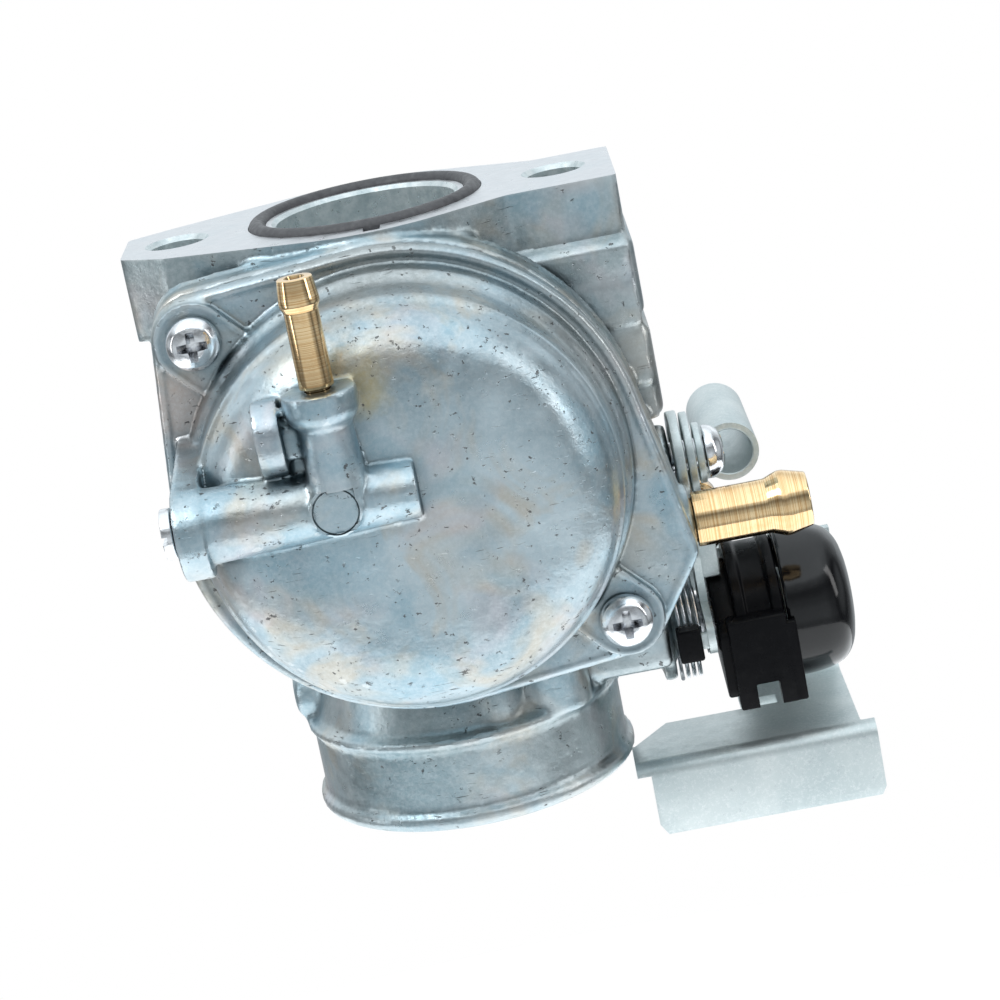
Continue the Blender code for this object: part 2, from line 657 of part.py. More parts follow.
def main_nozzle():
    """Emulsion tube from the main jet into the venturi."""
    profile = [(1.0, -6.6), (1.9, -6.6), (1.9, -33.2), (2.6, -33.4), (2.6, -33.6), (1.0, -33.6)]
    return finish(turned("main_nozzle", profile, (0, 0, BOWL_Z), Y_AXIS, 20), BRASS)


def pilot_jet():
    """Small slotted jet beside the main pillar."""
    jet = turned("pilot_jet", [(0, -22.0), (0.7, -22.0), (1.3, -23.5), (1.3, -29.4), (0, -29.4)],
                 (-5.6, 0, BOWL_Z), Y_AXIS, 16)
    combine(jet, "DIFFERENCE", [
        box("pilot_slot", (-7.4, -30, BOWL_Z - 0.25), (-3.8, -28.6, BOWL_Z + 0.25)),
        rod("pilot_bore", (-5.6, -30, BOWL_Z), (-5.6, -21, BOWL_Z), 0.4, None, 10),
    ])
    return finish(jet, BRASS)


# ---------------------------------------------------------------- throttle

def throttle_shaft():
    """Slotted shaft that carries the throttle plate, the lever and the drum."""
    profile = [(0, 46.4), (2.6, 46.4), (SHAFT_R, 46.0), (SHAFT_R, -18.1), (2.6, -18.5), (0, -18.5)]
    shaft = turned("throttle_shaft", profile, (0, 0, SHAFT_Z), X_AXIS, 24)
    combine(shaft, "DIFFERENCE", [
        box("plate_slot", (-12.7, -4, SHAFT_Z - 0.9), (12.7, 4, SHAFT_Z + 0.9)),
        *[rod(f"plate_screw_hole_{i}", (x, 0, SHAFT_Z - 4), (x, 0, SHAFT_Z + 4), 1.3, None, 16)
          for i, x in enumerate((-5.0, 5.0))],
    ])
    return finish(shaft, ZINC)


def throttle_plate():
    """Butterfly disc in the shaft's slot, closed at rest."""
    half = PLATE_THICK / 2
    plate = rod("throttle_plate", (0, 0, SHAFT_Z - half), (0, 0, SHAFT_Z + half), PLATE_R, None, 36)
    combine(plate, "DIFFERENCE", [
        rod(f"plate_hole_{i}", (x, 0, SHAFT_Z - 2), (x, 0, SHAFT_Z + 2), 1.3, None, 16)
        for i, x in enumerate((-5.0, 5.0))
    ])
    return finish(plate, BRASS)


def plate_screws():
    """Two small screws through the shaft and the plate."""
    for name, x in (("plate_screw_left", -5.0), ("plate_screw_right", 5.0)):
        pan_screw(name, (x, 0, SHAFT_Z + SHAFT_R + GAP), Z_AXIS, 1.8, 1.0, 6.6)


def throttle_lever():
    """Steel plate on the shaft with a stop ear and a spring tab."""
    ring = arc((0, SHAFT_Z), SHAFT_R + GAP, 0, 337.5, 15)
    lever = slab("throttle_lever", hull([(0, SHAFT_Z, 4.8), (-3.9, SHAFT_Z + 9.8, 2.0)]), 32.3, 33.3, "X")
    combine(lever, "UNION", [
        slab("spring_arm", hull([(0, SHAFT_Z, 4.6), (-8.4, SHAFT_Z + 0.4, 2.6)]), 32.3, 33.3, "X"),
        box("stop_ear", (32.4, -4.6, SHAFT_Z + 6.5), (35.6, -3.5, SHAFT_Z + 12.2), 0.3),
        box("spring_tab", (28.9, -10.3, SHAFT_Z - 1.0), (33.0, -9.5, SHAFT_Z + 1.2)),
    ])
    combine(lever, "DIFFERENCE", [slab("lever_hole", ring, 31.0, 34.0, "X")])
    return finish(lever, ZINC)


def spring_sleeve():
    """Plastic sleeve over the lever's spring tab."""
    sleeve = box("spring_sleeve", (28.4, -11.5, SHAFT_Z - 2.1), (31.5, -8.75, SHAFT_Z + 2.2), 0.2)
    combine(sleeve, "DIFFERENCE", [
        box("sleeve_slot", (28.7, -10.6, SHAFT_Z - 1.3), (33.0, -9.2, SHAFT_Z + 1.5)),
    ])
    return finish(sleeve, BLACK)


def return_spring():
    """Torsion spring around the casting's pilot, with a short leg at each end."""
    coil_r, pitch, turns, per_turn = 7.3, 0.8, 3.75, 14
    count = int(turns * per_turn)
    first = 28.45
    coil = []
    for i in range(count + 1):
        angle = math.radians(250 + 360 * i / per_turn)
        coil.append((pitch * i / per_turn, coil_r * math.cos(angle), coil_r * math.sin(angle)))
    start, end = Vector(coil[0]), Vector(coil[-1])
    start_leg = start + (start - Vector(coil[1])).normalized() * 4.0
    end_leg = end + (end - Vector(coil[-2])).normalized() * 3.0
    spring = wire("return_spring", [start_leg, *coil, end_leg], 0.27, (first, 0, SHAFT_Z))
    return finish(spring, CHROME)


def throttle_drum():
    """Plastic cable drum with a hub flange and a slotted tongue for the cable end."""
    drum = turned("throttle_drum", [
        (SHAFT_R + GAP, 42.5), (9.4, 42.5), (9.4, 40.2), (8.0, 39.4), (8.0, 38.4), (9.4, 37.6),
        (9.4, 36.3), (SHAFT_R + GAP, 36.3),
    ], (0, 0, SHAFT_Z), X_AXIS, 24)
    combine(drum, "UNION", [
        slab("hub_flange", hull([(0, SHAFT_Z, 7.2), (-8.9, SHAFT_Z - 0.4, 1.6), (-8.6, SHAFT_Z - 7.0, 1.6)]),
             33.7, 36.6, "X"),
        box("tongue", (34.9, -11.6, -71.2), (42.5, -8.2, SHAFT_Z + 2.2), 0.35),
        box("tongue_edge", (41.0, -11.6, -71.2), (43.6, -10.2, SHAFT_Z + 1.0), 0.3),
    ])
    combine(drum, "DIFFERENCE", [
        box("cable_slot", (37.3, -13.0, -72.0), (40.3, -6.5, -68.0)),
        rod("cable_seat", (36.0, -9.8, -67.4), (41.4, -9.8, -67.4), 1.5, None, 16),
        rod("drum_bore", (33, 0, SHAFT_Z), (43, 0, SHAFT_Z), SHAFT_R + GAP, None, 16),
    ])
    return finish(drum, BLACK)


def drum_cap():
    """Glossy cap over the shaft nut."""
    profile = [
        (0, 51.9), (4.0, 51.8), (6.6, 51.3), (8.4, 50.2), (9.4, 48.4), (9.8, 46.0), (9.8, 42.8),
        (8.6, 42.8), (8.6, 46.8), (7.0, 48.4), (0, 48.9),
    ]
    return finish(turned("drum_cap", profile, (0, 0, SHAFT_Z), X_AXIS, 28), BLACK)


def shaft_nut():
    """Hexagon nut that clamps the drum on the shaft."""
    nut = slab("shaft_nut", hexagon(8.0), -1.2, 1.2, "Z", [arc((0, 0), SHAFT_R + GAP, 0, 337.5, 15)])
    place(nut, (44.1, 0, SHAFT_Z), X_AXIS)
    return finish(nut, ZINC)


# ---------------------------------------------------------------- adjusters, clip and bracket

def adjuster(name, tip, axis, length, shank_r, head_r, head_height):
    """Slotted adjusting screw with a point, from its tip back to its head."""
    profile = [
        (0, 0), (head_r - 0.4, 0), (head_r, -0.4), (head_r, -head_height), (shank_r, -head_height),
        (shank_r, -length + 1.2), (shank_r * 0.4, -length), (0, -length),
    ]
    end = Vector(tip) + Vector(axis) * length
    screw = turned(name, profile, end, axis, 20)
    slot = box(f"{name}_slot", (-head_r - 1, -0.4, -1.0), (head_r + 1, 0.4, 1.0))
    combine(screw, "DIFFERENCE", [place(slot, end, axis)])
    return finish(screw, BRASS)


def compression_spring(name, start, axis, length, coil_r, wire_r, turns):
    """Coil spring along an axis."""
    per_turn = 10
    count = int(turns * per_turn)
    turn = turn_to(axis)
    points = []
    for i in range(count + 1):
        angle = 2 * math.pi * i / per_turn
        local = Vector((coil_r * math.cos(angle), coil_r * math.sin(angle), length * i / count))
        points.append(turn @ local)
    return finish(wire(name, points, wire_r, start), CHROME)


def idle_stop():
    """Screw that sets the closed position of the throttle, with its spring."""
    adjuster("idle_stop_screw", (STOP_X, -3.2, STOP_Z), Y_AXIS, 22.0, 1.3, 2.8, 3.0)
    compression_spring("idle_stop_spring", (STOP_X, 10.1, STOP_Z), Y_AXIS, 5.0, 2.0, 0.28, 3.5)


def mixture_set():
    """Screw that sets the idle mixture, with its spring."""
    adjuster("mixture_screw", (MIXTURE_X, 12.6, BACK_Z), Y_AXIS, 14.0, 1.9, 3.0, 2.6)
    compression_spring("mixture_spring", (MIXTURE_X, 20.1, BACK_Z), Y_AXIS, 3.2, 2.45, 0.28, 2.5)


def guide_clip():
    """Sheet clip with a rolled barrel along Y, held against the casting by one screw."""
    tab = hull([(CLIP_Y, CLIP_Z, 5.9), (0.5, BARREL_Z, 3.7)])
    clip = slab("guide_clip", tab, 32.1, 33.5, "X")
    barrel = rod("clip_barrel", (BARREL_X, BARREL_FRONT, BARREL_Z), (BARREL_X, BARREL_BACK, BARREL_Z), 3.8)
    neck = box("clip_neck", (32.1, 1.5, BARREL_Z - 3.6), (BARREL_X - 0.4, 6.5, BARREL_Z - 2.2))
    combine(clip, "UNION", [barrel, neck])
    combine(clip, "DIFFERENCE", [
        rod("clip_hole", (31, CLIP_Y, CLIP_Z), (35, CLIP_Y, CLIP_Z), 2.3, None, 20),
        rod("barrel_hole", (BARREL_X, BARREL_FRONT - 1, BARREL_Z), (BARREL_X, BARREL_BACK + 1, BARREL_Z), 3.0,
            None, 16),
    ])
    return finish(clip, ZINC)


def clip_fixing():
    """Screw with a flat washer and a plain washer that hold the clip."""
    washers = (("clip_washer_wide", 33.8, 1.0, 5.5), ("clip_washer_small", 35.1, 0.9, 3.9))
    for name, low, thick, radius in washers:
        ring = [(2.3, low + thick), (radius, low + thick), (radius, low), (2.3, low)]
        finish(turned(name, ring, (0, CLIP_Y, CLIP_Z), X_AXIS, 20), ZINC)
    pan_screw("clip_screw", (36.3, CLIP_Y, CLIP_Z), X_AXIS, 3.4, 1.95, 10.5)


def bracket_section():
    """The bent sheet seen along X as (y, z): front lip, level shelf and back leg."""
    front_bend, back_bend = (-7.0, BRACKET_TOP - 2.0), (LEG_Y - 2.0, BRACKET_TOP + 2.0)
    outside = [(-9.0, LIP_Z), *arc(front_bend, 2.0, 180, 90, 4), *arc(back_bend, 2.0, 270, 360, 4),
               (LEG_Y, -45.6)]
    inside = [(LEG_Y + BRACKET_THICK, -45.6), *arc(back_bend, 2.0 + BRACKET_THICK, 360, 270, 4),
              *arc(front_bend, 2.0 - BRACKET_THICK, 90, 180, 3), (-9.0 + BRACKET_THICK, LIP_Z)]
    return outside + inside


def cable_bracket():
    """Bent steel bracket: a shelf under the drum, a lip at the front and a leg on the casting."""
    bracket = slab("cable_bracket", bracket_section(), 20.2, 51.7, "X")
    left_chamfer = [(19, -1.5), (20.6, -1.5), (25.4, 5.4), (19, 5.4)]
    combine(bracket, "DIFFERENCE", [
        box("leg_opening", (19.0, 5.2, -80.0), (35.6, 18.0, -62.8)),
        box("leg_side", (30.6, 8.0, -57.5), (52.0, 18.0, -40.0)),
        slab("left_chamfer", left_chamfer, -90.0, -74.0, "Z"),
        box("lip_left", (19.0, -12.0, -90.0), (22.0, -7.3, -78.6)),
        box("shelf_right", (49.9, -7.0, -80.0), (54.0, 18.0, -70.0)),
        slab("lip_corner_left", [(21, -88), (23.6, -88), (22, -85.4), (21, -85.4)], -12.0, -6.0, "Y"),
        slab("lip_corner_right", [(53, -88), (50.4, -88), (51.7, -85.8), (53, -85.8)], -12.0, -6.0, "Y"),
        box("cable_slot", (35.0, 5.2, -80.0), (40.4, 8.4, -76.0)),
        *[rod(f"bracket_hole_{i}", (BRACKET_SCREW_X, 14.0, z), (BRACKET_SCREW_X, 18.0, z), 2.3, None, 20)
          for i, z in enumerate(BRACKET_SCREWS)],
    ])
    return finish(bracket, ZINC)


def bracket_screws():
    """Two screws through the bracket's leg."""
    for name, z in zip(("bracket_screw_upper", "bracket_screw_lower"), BRACKET_SCREWS):
        pan_screw(name, (BRACKET_SCREW_X, LEG_Y + BRACKET_THICK + GAP, z), Y_AXIS, 3.1, 1.95, 9.5)


def main():
    """Build every sub-part."""
    throttle_body()
    flange_o_ring()
    body_plug()
    float_bowl()
    bowl_gasket()
    bowl_screws()
    drain_nozzle()
    drain_plug()
    drain_screw()
    fuel_inlet()
    needle_seat()
    float_needle()
    fuel_float()
    float_pin()
    main_jet()
    main_nozzle()
    pilot_jet()
    throttle_shaft()
    throttle_plate()
    plate_screws()
    throttle_lever()
    spring_sleeve()
    return_spring()
    throttle_drum()
    drum_cap()
    shaft_nut()
    idle_stop()
    mixture_set()
    guide_clip()
    clip_fixing()
    cable_bracket()
    bracket_screws()


main()
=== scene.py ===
"""Finished look of a small side-float carburetor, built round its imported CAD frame.

Lengths are millimetres in the shape code and become metres when a mesh is made.
+Z runs along the bore out of the flange, -Y points to the float bowl and +X to the throttle drum.
"""

import json
from math import cos, pi, radians, sin, sqrt

import bmesh
import bpy
from mathutils import Matrix, Vector

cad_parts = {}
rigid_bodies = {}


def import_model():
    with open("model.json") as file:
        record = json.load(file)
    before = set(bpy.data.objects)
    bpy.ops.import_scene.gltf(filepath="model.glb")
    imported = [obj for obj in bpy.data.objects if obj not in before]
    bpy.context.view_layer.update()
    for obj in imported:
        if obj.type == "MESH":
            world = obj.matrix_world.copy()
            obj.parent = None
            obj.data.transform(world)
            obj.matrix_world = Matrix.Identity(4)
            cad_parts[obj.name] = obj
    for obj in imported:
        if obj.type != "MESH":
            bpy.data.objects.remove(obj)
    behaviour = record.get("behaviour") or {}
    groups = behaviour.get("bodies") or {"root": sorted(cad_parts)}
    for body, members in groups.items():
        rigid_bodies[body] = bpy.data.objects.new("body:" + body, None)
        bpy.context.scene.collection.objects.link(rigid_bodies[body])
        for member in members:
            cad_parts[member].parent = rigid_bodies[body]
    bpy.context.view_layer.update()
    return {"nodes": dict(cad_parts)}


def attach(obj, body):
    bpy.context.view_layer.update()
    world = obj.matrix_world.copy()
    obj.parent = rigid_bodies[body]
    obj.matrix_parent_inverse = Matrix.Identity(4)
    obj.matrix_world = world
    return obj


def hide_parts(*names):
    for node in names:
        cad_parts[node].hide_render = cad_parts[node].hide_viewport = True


for leftover in list(bpy.data.objects):
    bpy.data.objects.remove(leftover, do_unlink=True)
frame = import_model()
MM = 0.001
X_AXIS = Vector((1, 0, 0))
Y_AXIS = Vector((0, 1, 0))
Z_AXIS = Vector((0, 0, 1))

# Sizes shared with the CAD part
FLANGE_R = 18.4
SPIGOT_END = -76.6
BOWL_Z = -30.0
BOLT_X = 24.0
SCREW_UPPER = (-21.9, -7.8)
SCREW_LOWER = (22.5, -51.6)
BOWL_SCREWS = (SCREW_UPPER, SCREW_LOWER)
HOLE_R = 2.3
SHANK_R = 1.95
SHAFT_Z = -61.5
SHAFT_HOLE_R = 3.3
INLET_Y = -14.5
INLET_Z = -44.0
DRAIN_Y = -41.2
DRAIN_Z = -25.9
COLLAR = (DRAIN_Y + 0.6, DRAIN_Z - 0.6)
TOWER_X = -7.2
TOWER_Y = -43.2
CLIP_Y = -4.5
CLIP_Z = -38.4
BARREL_X = 39.6
BARREL_Z = -40.2
STOP_X = 35.0
STOP_Z = -50.9
BACK_Z = -49.0
MIXTURE_X = -9.0
PLUG_X = 4.0
BRACKET_X = 24.2
BRACKET_SCREWS = (-49.5, -58.5)
PLATE_SCREWS = (-5.0, 5.0)

# Voxels that melt the castings' lumps together, and the castings' material slots after the first
CASTING_VOXEL = 0.48
BOWL_VOXEL = 0.31
SMOOTHING_ROUNDS = 2
MACHINED_SLOT = 1
DRILLED_SLOT = 2


# ---------------------------------------------------------------- outlines

def arc(centre, radius, first, last, count):
    """Points on an arc, in degrees."""
    angles = [radians(first + (last - first) * i / count) for i in range(count + 1)]
    return [(centre[0] + radius * cos(a), centre[1] + radius * sin(a)) for a in angles]


def circle(centre, radius, count):
    """Points round a whole circle."""
    return arc(centre, radius, 0, 360 - 360 / count, count - 1)


def hull(circles, count=96):
    """The outline of a tight band around circles given as (u, v, radius)."""
    points = set()
    for u, v, radius in circles:
        points.update((round(a, 3), round(b, 3)) for a, b in circle((u, v), radius, count))

    def chain(sequence):
        line = []
        for p in sequence:
            while len(line) > 1:
                a, b = line[-2], line[-1]
                if (b[0] - a[0]) * (p[1] - a[1]) - (b[1] - a[1]) * (p[0] - a[0]) > 0:
                    break
                line.pop()
            line.append(p)
        return line[:-1]

    ordered = sorted(points)
    return chain(ordered) + chain(reversed(ordered))


def rounded(points, radius, steps=5):
    """A polyline with its corners turned into curves of about the radius given."""
    result = [tuple(points[0])]
    for before, p, after in zip(points, points[1:], points[2:]):
        here = Vector(p)
        back = Vector(before) - here
        ahead = Vector(after) - here
        reach = min(radius, 0.48 * back.length, 0.48 * ahead.length)
        first = here + back.normalized() * reach
        last = here + ahead.normalized() * reach
        for k in range(steps + 1):
            t = k / steps
            result.append(tuple(first * (1 - t) ** 2 + here * 2 * t * (1 - t) + last * t * t))
    return [*result, tuple(points[-1])]


# ---------------------------------------------------------------- meshes

def turn_to(axis):
    """The shortest rotation that takes local Z to the axis given."""
    return Z_AXIS.rotation_difference(Vector(axis)).to_matrix()


def placed(name, data):
    """A new object in the scene."""
    obj = bpy.data.objects.new(name, data)
    bpy.context.scene.collection.objects.link(obj)
    return obj


def make(name, shape):
    """An object in millimetres-turned-metres from a bmesh, with its normals outward."""
    bmesh.ops.remove_doubles(shape, verts=shape.verts, dist=0.0005)
    bmesh.ops.recalc_face_normals(shape, faces=shape.faces)
    for v in shape.verts:
        v.co *= MM
    mesh = bpy.data.meshes.new(name)
    shape.to_mesh(mesh)
    shape.free()
    return placed(name, mesh)


def revolve(name, profile, origin, axis, steps=96):
    """A closed profile of (radius, height) points turned about an axis."""
    shape = bmesh.new()
    turn = turn_to(axis)
    rings = []
    for radius, height in profile:
        count = 1 if radius < 1e-6 else steps
        ring = []
        for k in range(count):
            a = 2 * pi * k / steps
            local = Vector((radius * cos(a), radius * sin(a), height))
            ring.append(shape.verts.new(turn @ local + Vector(origin)))
        rings.append(ring)
    pairs = list(zip(rings, rings[1:]))
    if len(rings[0]) > 1:
        pairs.append((rings[-1], rings[0]))
    for a, b in pairs:
        if len(a) == 1 and len(b) == 1:
            continue
        for k in range(steps):
            n = (k + 1) % steps
            corners = (a[k % len(a)], a[n % len(a)], b[n % len(b)], b[k % len(b)])
            shape.faces.new(list(dict.fromkeys(corners)))
    return make(name, shape)


def rod(name, start, end, radius, end_radius=None, edge=0.3, steps=64):
    """A round bar or cone between two points with softened ends."""
    first, last = Vector(start), Vector(end)
    length = (last - first).length
    tip = radius if end_radius is None else end_radius
    profile = [(0, 0), (radius, 0), (tip, length), (0, length)]
    return revolve(name, rounded(profile, edge, 3), first, (last - first).normalized(), steps)


def drill(name, start, end, radius, edge=0.05):
    """A plain round cutter."""
    return rod(name, start, end, radius, None, edge)


def box(name, low, high, edge=0.3):
    """A box with rounded edges."""
    shape = bmesh.new()
    size = [b - a for a, b in zip(low, high)]
    middle = Vector([(a + b) / 2 for a, b in zip(low, high)])
    place = Matrix.Translation(middle) @ Matrix.Diagonal((*size, 1.0))
    bmesh.ops.create_cube(shape, size=1.0, matrix=place)
    if edge:
        bmesh.ops.bevel(shape, geom=list(shape.edges), offset=edge, segments=3, profile=0.5,
                        affect="EDGES", clamp_overlap=True)
    return make(name, shape)


PLANES = {
    "X": Matrix(((0, 0, 1), (1, 0, 0), (0, 1, 0))),
    "Y": Matrix(((1, 0, 0), (0, 0, -1), (0, 1, 0))),
    "Z": Matrix.Identity(3),
}


def plate(name, outline, low, high, normal, holes=(), edge=0.0):
    """A flat plate across X, Y or Z with rounded rims. The outline is (y, z), (x, z) or (x, y)."""
    curve = bpy.data.curves.new(name, "CURVE")
    curve.dimensions = "2D"
    curve.fill_mode = "BOTH"
    curve.extrude = ((high - low) / 2 - edge) * MM
    curve.bevel_depth = edge * MM
    curve.bevel_resolution = 2
    curve.offset = -edge * MM
    for loop in (outline, *holes):
        spline = curve.splines.new("POLY")
        spline.points.add(len(loop) - 1)
        for target, (u, v) in zip(spline.points, loop):
            target.co = (u * MM, v * MM, 0.0, 1.0)
        spline.use_cyclic_u = True
    source = placed(name, curve)
    graph = bpy.context.evaluated_depsgraph_get()
    mesh = bpy.data.meshes.new_from_object(source.evaluated_get(graph))
    shape = bmesh.new()
    shape.from_mesh(mesh)
    middle = (low + high) / 2
    offset = {"X": (middle, 0, 0), "Y": (0, middle, 0), "Z": (0, 0, middle)}[normal]
    for v in shape.verts:
        v.co = PLANES[normal] @ (v.co / MM) + Vector(offset)
    bpy.data.objects.remove(source, do_unlink=True)
    bpy.data.curves.remove(curve)
    return make(name, shape)


def tube(name, points, radius, closed=False, sides=12):
    """Round wire through points, with flat ends when it is open."""
    path = [Vector(p) for p in points]
    count = len(path)
    shape = bmesh.new()
    rings = []
    side = None
    for i, p in enumerate(path):
        before = path[i - 1] if closed or i else path[0]
        after = path[(i + 1) % count] if closed or i < count - 1 else path[-1]
        along = (after - before).normalized()
        if side is None:
            side = along.orthogonal().normalized()
        side = (side - along * side.dot(along)).normalized()
        other = along.cross(side)
        ring = [shape.verts.new(p + (side * cos(a) + other * sin(a)) * radius)
                for a in (2 * pi * k / sides for k in range(sides))]
        rings.append(ring)
    pairs = list(zip(rings, rings[1:]))
    if closed:
        pairs.append((rings[-1], rings[0]))
    for a, b in pairs:
        for k in range(sides):
            n = (k + 1) % sides
            shape.faces.new((a[k], a[n], b[n], b[k]))
    if not closed:
        shape.faces.new(rings[0])
        shape.faces.new(rings[-1])
    return make(name, shape)


# ---------------------------------------------------------------- joining and cutting

def soften(obj, width, segments, angle):
    """Round an object's sharp edges with a modifier."""
    bevel = obj.modifiers.new("soft_edges", "BEVEL")
    bevel.width = width * MM
    bevel.segments = segments
    bevel.limit_method = "ANGLE"
    bevel.angle_limit = radians(angle)


def bake(obj):
    """Apply an object's modifiers."""
    graph = bpy.context.evaluated_depsgraph_get()
    mesh = bpy.data.meshes.new_from_object(obj.evaluated_get(graph))
    obj.modifiers.clear()
    obj.data = mesh
    return obj


def gather(name, shapes):
    """One object holding several shapes."""
    merged = bmesh.new()
    for s in shapes:
        merged.from_mesh(s.data)
        bpy.data.objects.remove(s, do_unlink=True)
    mesh = bpy.data.meshes.new(name)
    merged.to_mesh(mesh)
    merged.free()
    return placed(name, mesh)


def fuse(name, shapes, voxel):
    """Melt shapes into one casting with soft fillets where they meet."""
    obj = gather(name, shapes)
    remesh = obj.modifiers.new("melt", "REMESH")
    remesh.mode = "VOXEL"
    remesh.voxel_size = voxel * MM
    smooth = obj.modifiers.new("soften", "SMOOTH")
    smooth.factor = 0.5
    smooth.iterations = SMOOTHING_ROUNDS
    return bake(obj)


def carve(obj, shapes, material_index=0, operation="DIFFERENCE"):
    """Cut shapes from an object, or join them on, giving the new faces a material index."""
    for s in shapes:
        made_of(s, *obj.data.materials)
        for face in s.data.polygons:
            face.material_index = material_index
        boolean = obj.modifiers.new("cut", "BOOLEAN")
        boolean.operation = operation
        boolean.object = s
        boolean.solver = "MANIFOLD"
    bake(obj)
    for s in shapes:
        bpy.data.objects.remove(s, do_unlink=True)


def made_of(obj, *materials):
    """Give an object its materials, in slot order."""
    for material in materials:
        obj.data.materials.append(material)
    return obj


def finished(obj, replaces, angle=35, body="carburetor_body"):
    """Hand a piece over: its shading, the body it rides on and the nodes it stands for."""
    obj.data.shade_smooth()
    obj.data.set_sharp_from_angle(angle=radians(angle))
    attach(obj, body)
    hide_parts(*replaces)


# ---------------------------------------------------------------- surface finishes

def blend_colours(tree, kind, factor, a, b):
    """Mix two colours in a node tree."""
    made = tree.nodes.new("ShaderNodeMix")
    made.data_type = "RGBA"
    made.blend_type = kind
    for index, value in ((0, factor), (6, a), (7, b)):
        if isinstance(value, bpy.types.NodeSocket):
            tree.links.new(value, made.inputs[index])
        else:
            made.inputs[index].default_value = value if index == 0 else (*value, 1.0)
    return made.outputs[2]


class Finish:
    """A Principled material with small helpers for its procedural textures, in millimetres."""

    def __init__(self, name, colour, roughness, metallic):
        self.material = bpy.data.materials.new(name)
        self.material.use_nodes = True
        self.tree = self.material.node_tree
        self.shader = self.tree.nodes["Principled BSDF"]
        self.shader.inputs["Base Color"].default_value = (*colour, 1.0)
        self.shader.inputs["Roughness"].default_value = roughness
        self.shader.inputs["Metallic"].default_value = metallic
        coordinates = self.tree.nodes.new("ShaderNodeTexCoord")
        self.place = coordinates.outputs["Object"]

    def node(self, kind, inputs=None, **settings):
        made = self.tree.nodes.new(kind)
        for key, value in settings.items():
            setattr(made, key, value)
        for key, value in (inputs or {}).items():
            if isinstance(value, bpy.types.NodeSocket):
                self.tree.links.new(value, made.inputs[key])
            else:
                made.inputs[key].default_value = value
        return made

    def scaled(self, stretch=(1, 1, 1), turn=(0, 0, 0)):
        """Object coordinates in millimetres, stretched and turned."""
        made = self.node("ShaderNodeMapping", {"Vector": self.place, "Rotation": turn})
        made.inputs["Scale"].default_value = [s / MM for s in stretch]
        return made.outputs["Vector"]

    def noise(self, per_mm, detail=4.0, roughness=0.5, stretch=(1, 1, 1), turn=(0, 0, 0), warp=0.0):
        """Smooth noise from 0 to 1."""
        inputs = {"Vector": self.scaled(stretch, turn), "Scale": per_mm, "Detail": detail,
                  "Roughness": roughness, "Distortion": warp}
        return self.node("ShaderNodeTexNoise", inputs).outputs[0]

    def spread(self, value, low, high, to_low=0.0, to_high=1.0):
        """Map a range of values onto another, without going past its ends."""
        inputs = {0: value, 1: low, 2: high, 3: to_low, 4: to_high}
        return self.node("ShaderNodeMapRange", inputs, clamp=True).outputs[0]

    def maths(self, operation, a, b):
        return self.node("ShaderNodeMath", {0: a, 1: b}, operation=operation).outputs[0]

    def mix(self, factor, a, b):
        """Mix two colours."""
        return blend_colours(self.tree, "MIX", factor, a, b)

    def edges(self, low, high, to_low, to_high):
        """Strength along ridges and grooves, from how convex the surface is."""
        pointiness = self.node("ShaderNodeNewGeometry").outputs["Pointiness"]
        return self.spread(pointiness, low, high, to_low, to_high)

    def hollow_shade(self, reach, strength):
        """Painted shade where neighbouring surfaces within a reach in millimetres crowd the light out."""
        made = self.node("ShaderNodeAmbientOcclusion", {"Distance": reach * MM}, samples=6)
        return self.spread(made.outputs["AO"], 0.25, 0.92, strength, 0.0)

    def spot(self, centre, radius, strength):
        """A soft, ragged spot round a point in millimetres."""
        away = self.node("ShaderNodeVectorMath", {0: self.scaled(), 1: centre}, operation="DISTANCE")
        ragged = self.maths("MULTIPLY", self.noise(0.35, 3.0, 0.6), 0.7 * radius)
        reach = self.maths("ADD", away.outputs["Value"], ragged)
        return self.spread(reach, 0.75 * radius, 1.35 * radius, strength, 0.0)

    def bump(self, height, depth, after=None):
        """A bump of a depth in millimetres."""
        inputs = {"Height": height, "Distance": depth * MM, "Strength": 1.0}
        if after is not None:
            inputs["Normal"] = after
        return self.node("ShaderNodeBump", inputs).outputs[0]

    def done(self, colour=None, roughness=None, normal=None, **others):
        for key, value in (("Base Color", colour), ("Roughness", roughness), ("Normal", normal)):
            if value is not None:
                self.tree.links.new(value, self.shader.inputs[key])
        for key, value in others.items():
            self.shader.inputs[key.replace("_", " ")].default_value = value
        return self.material


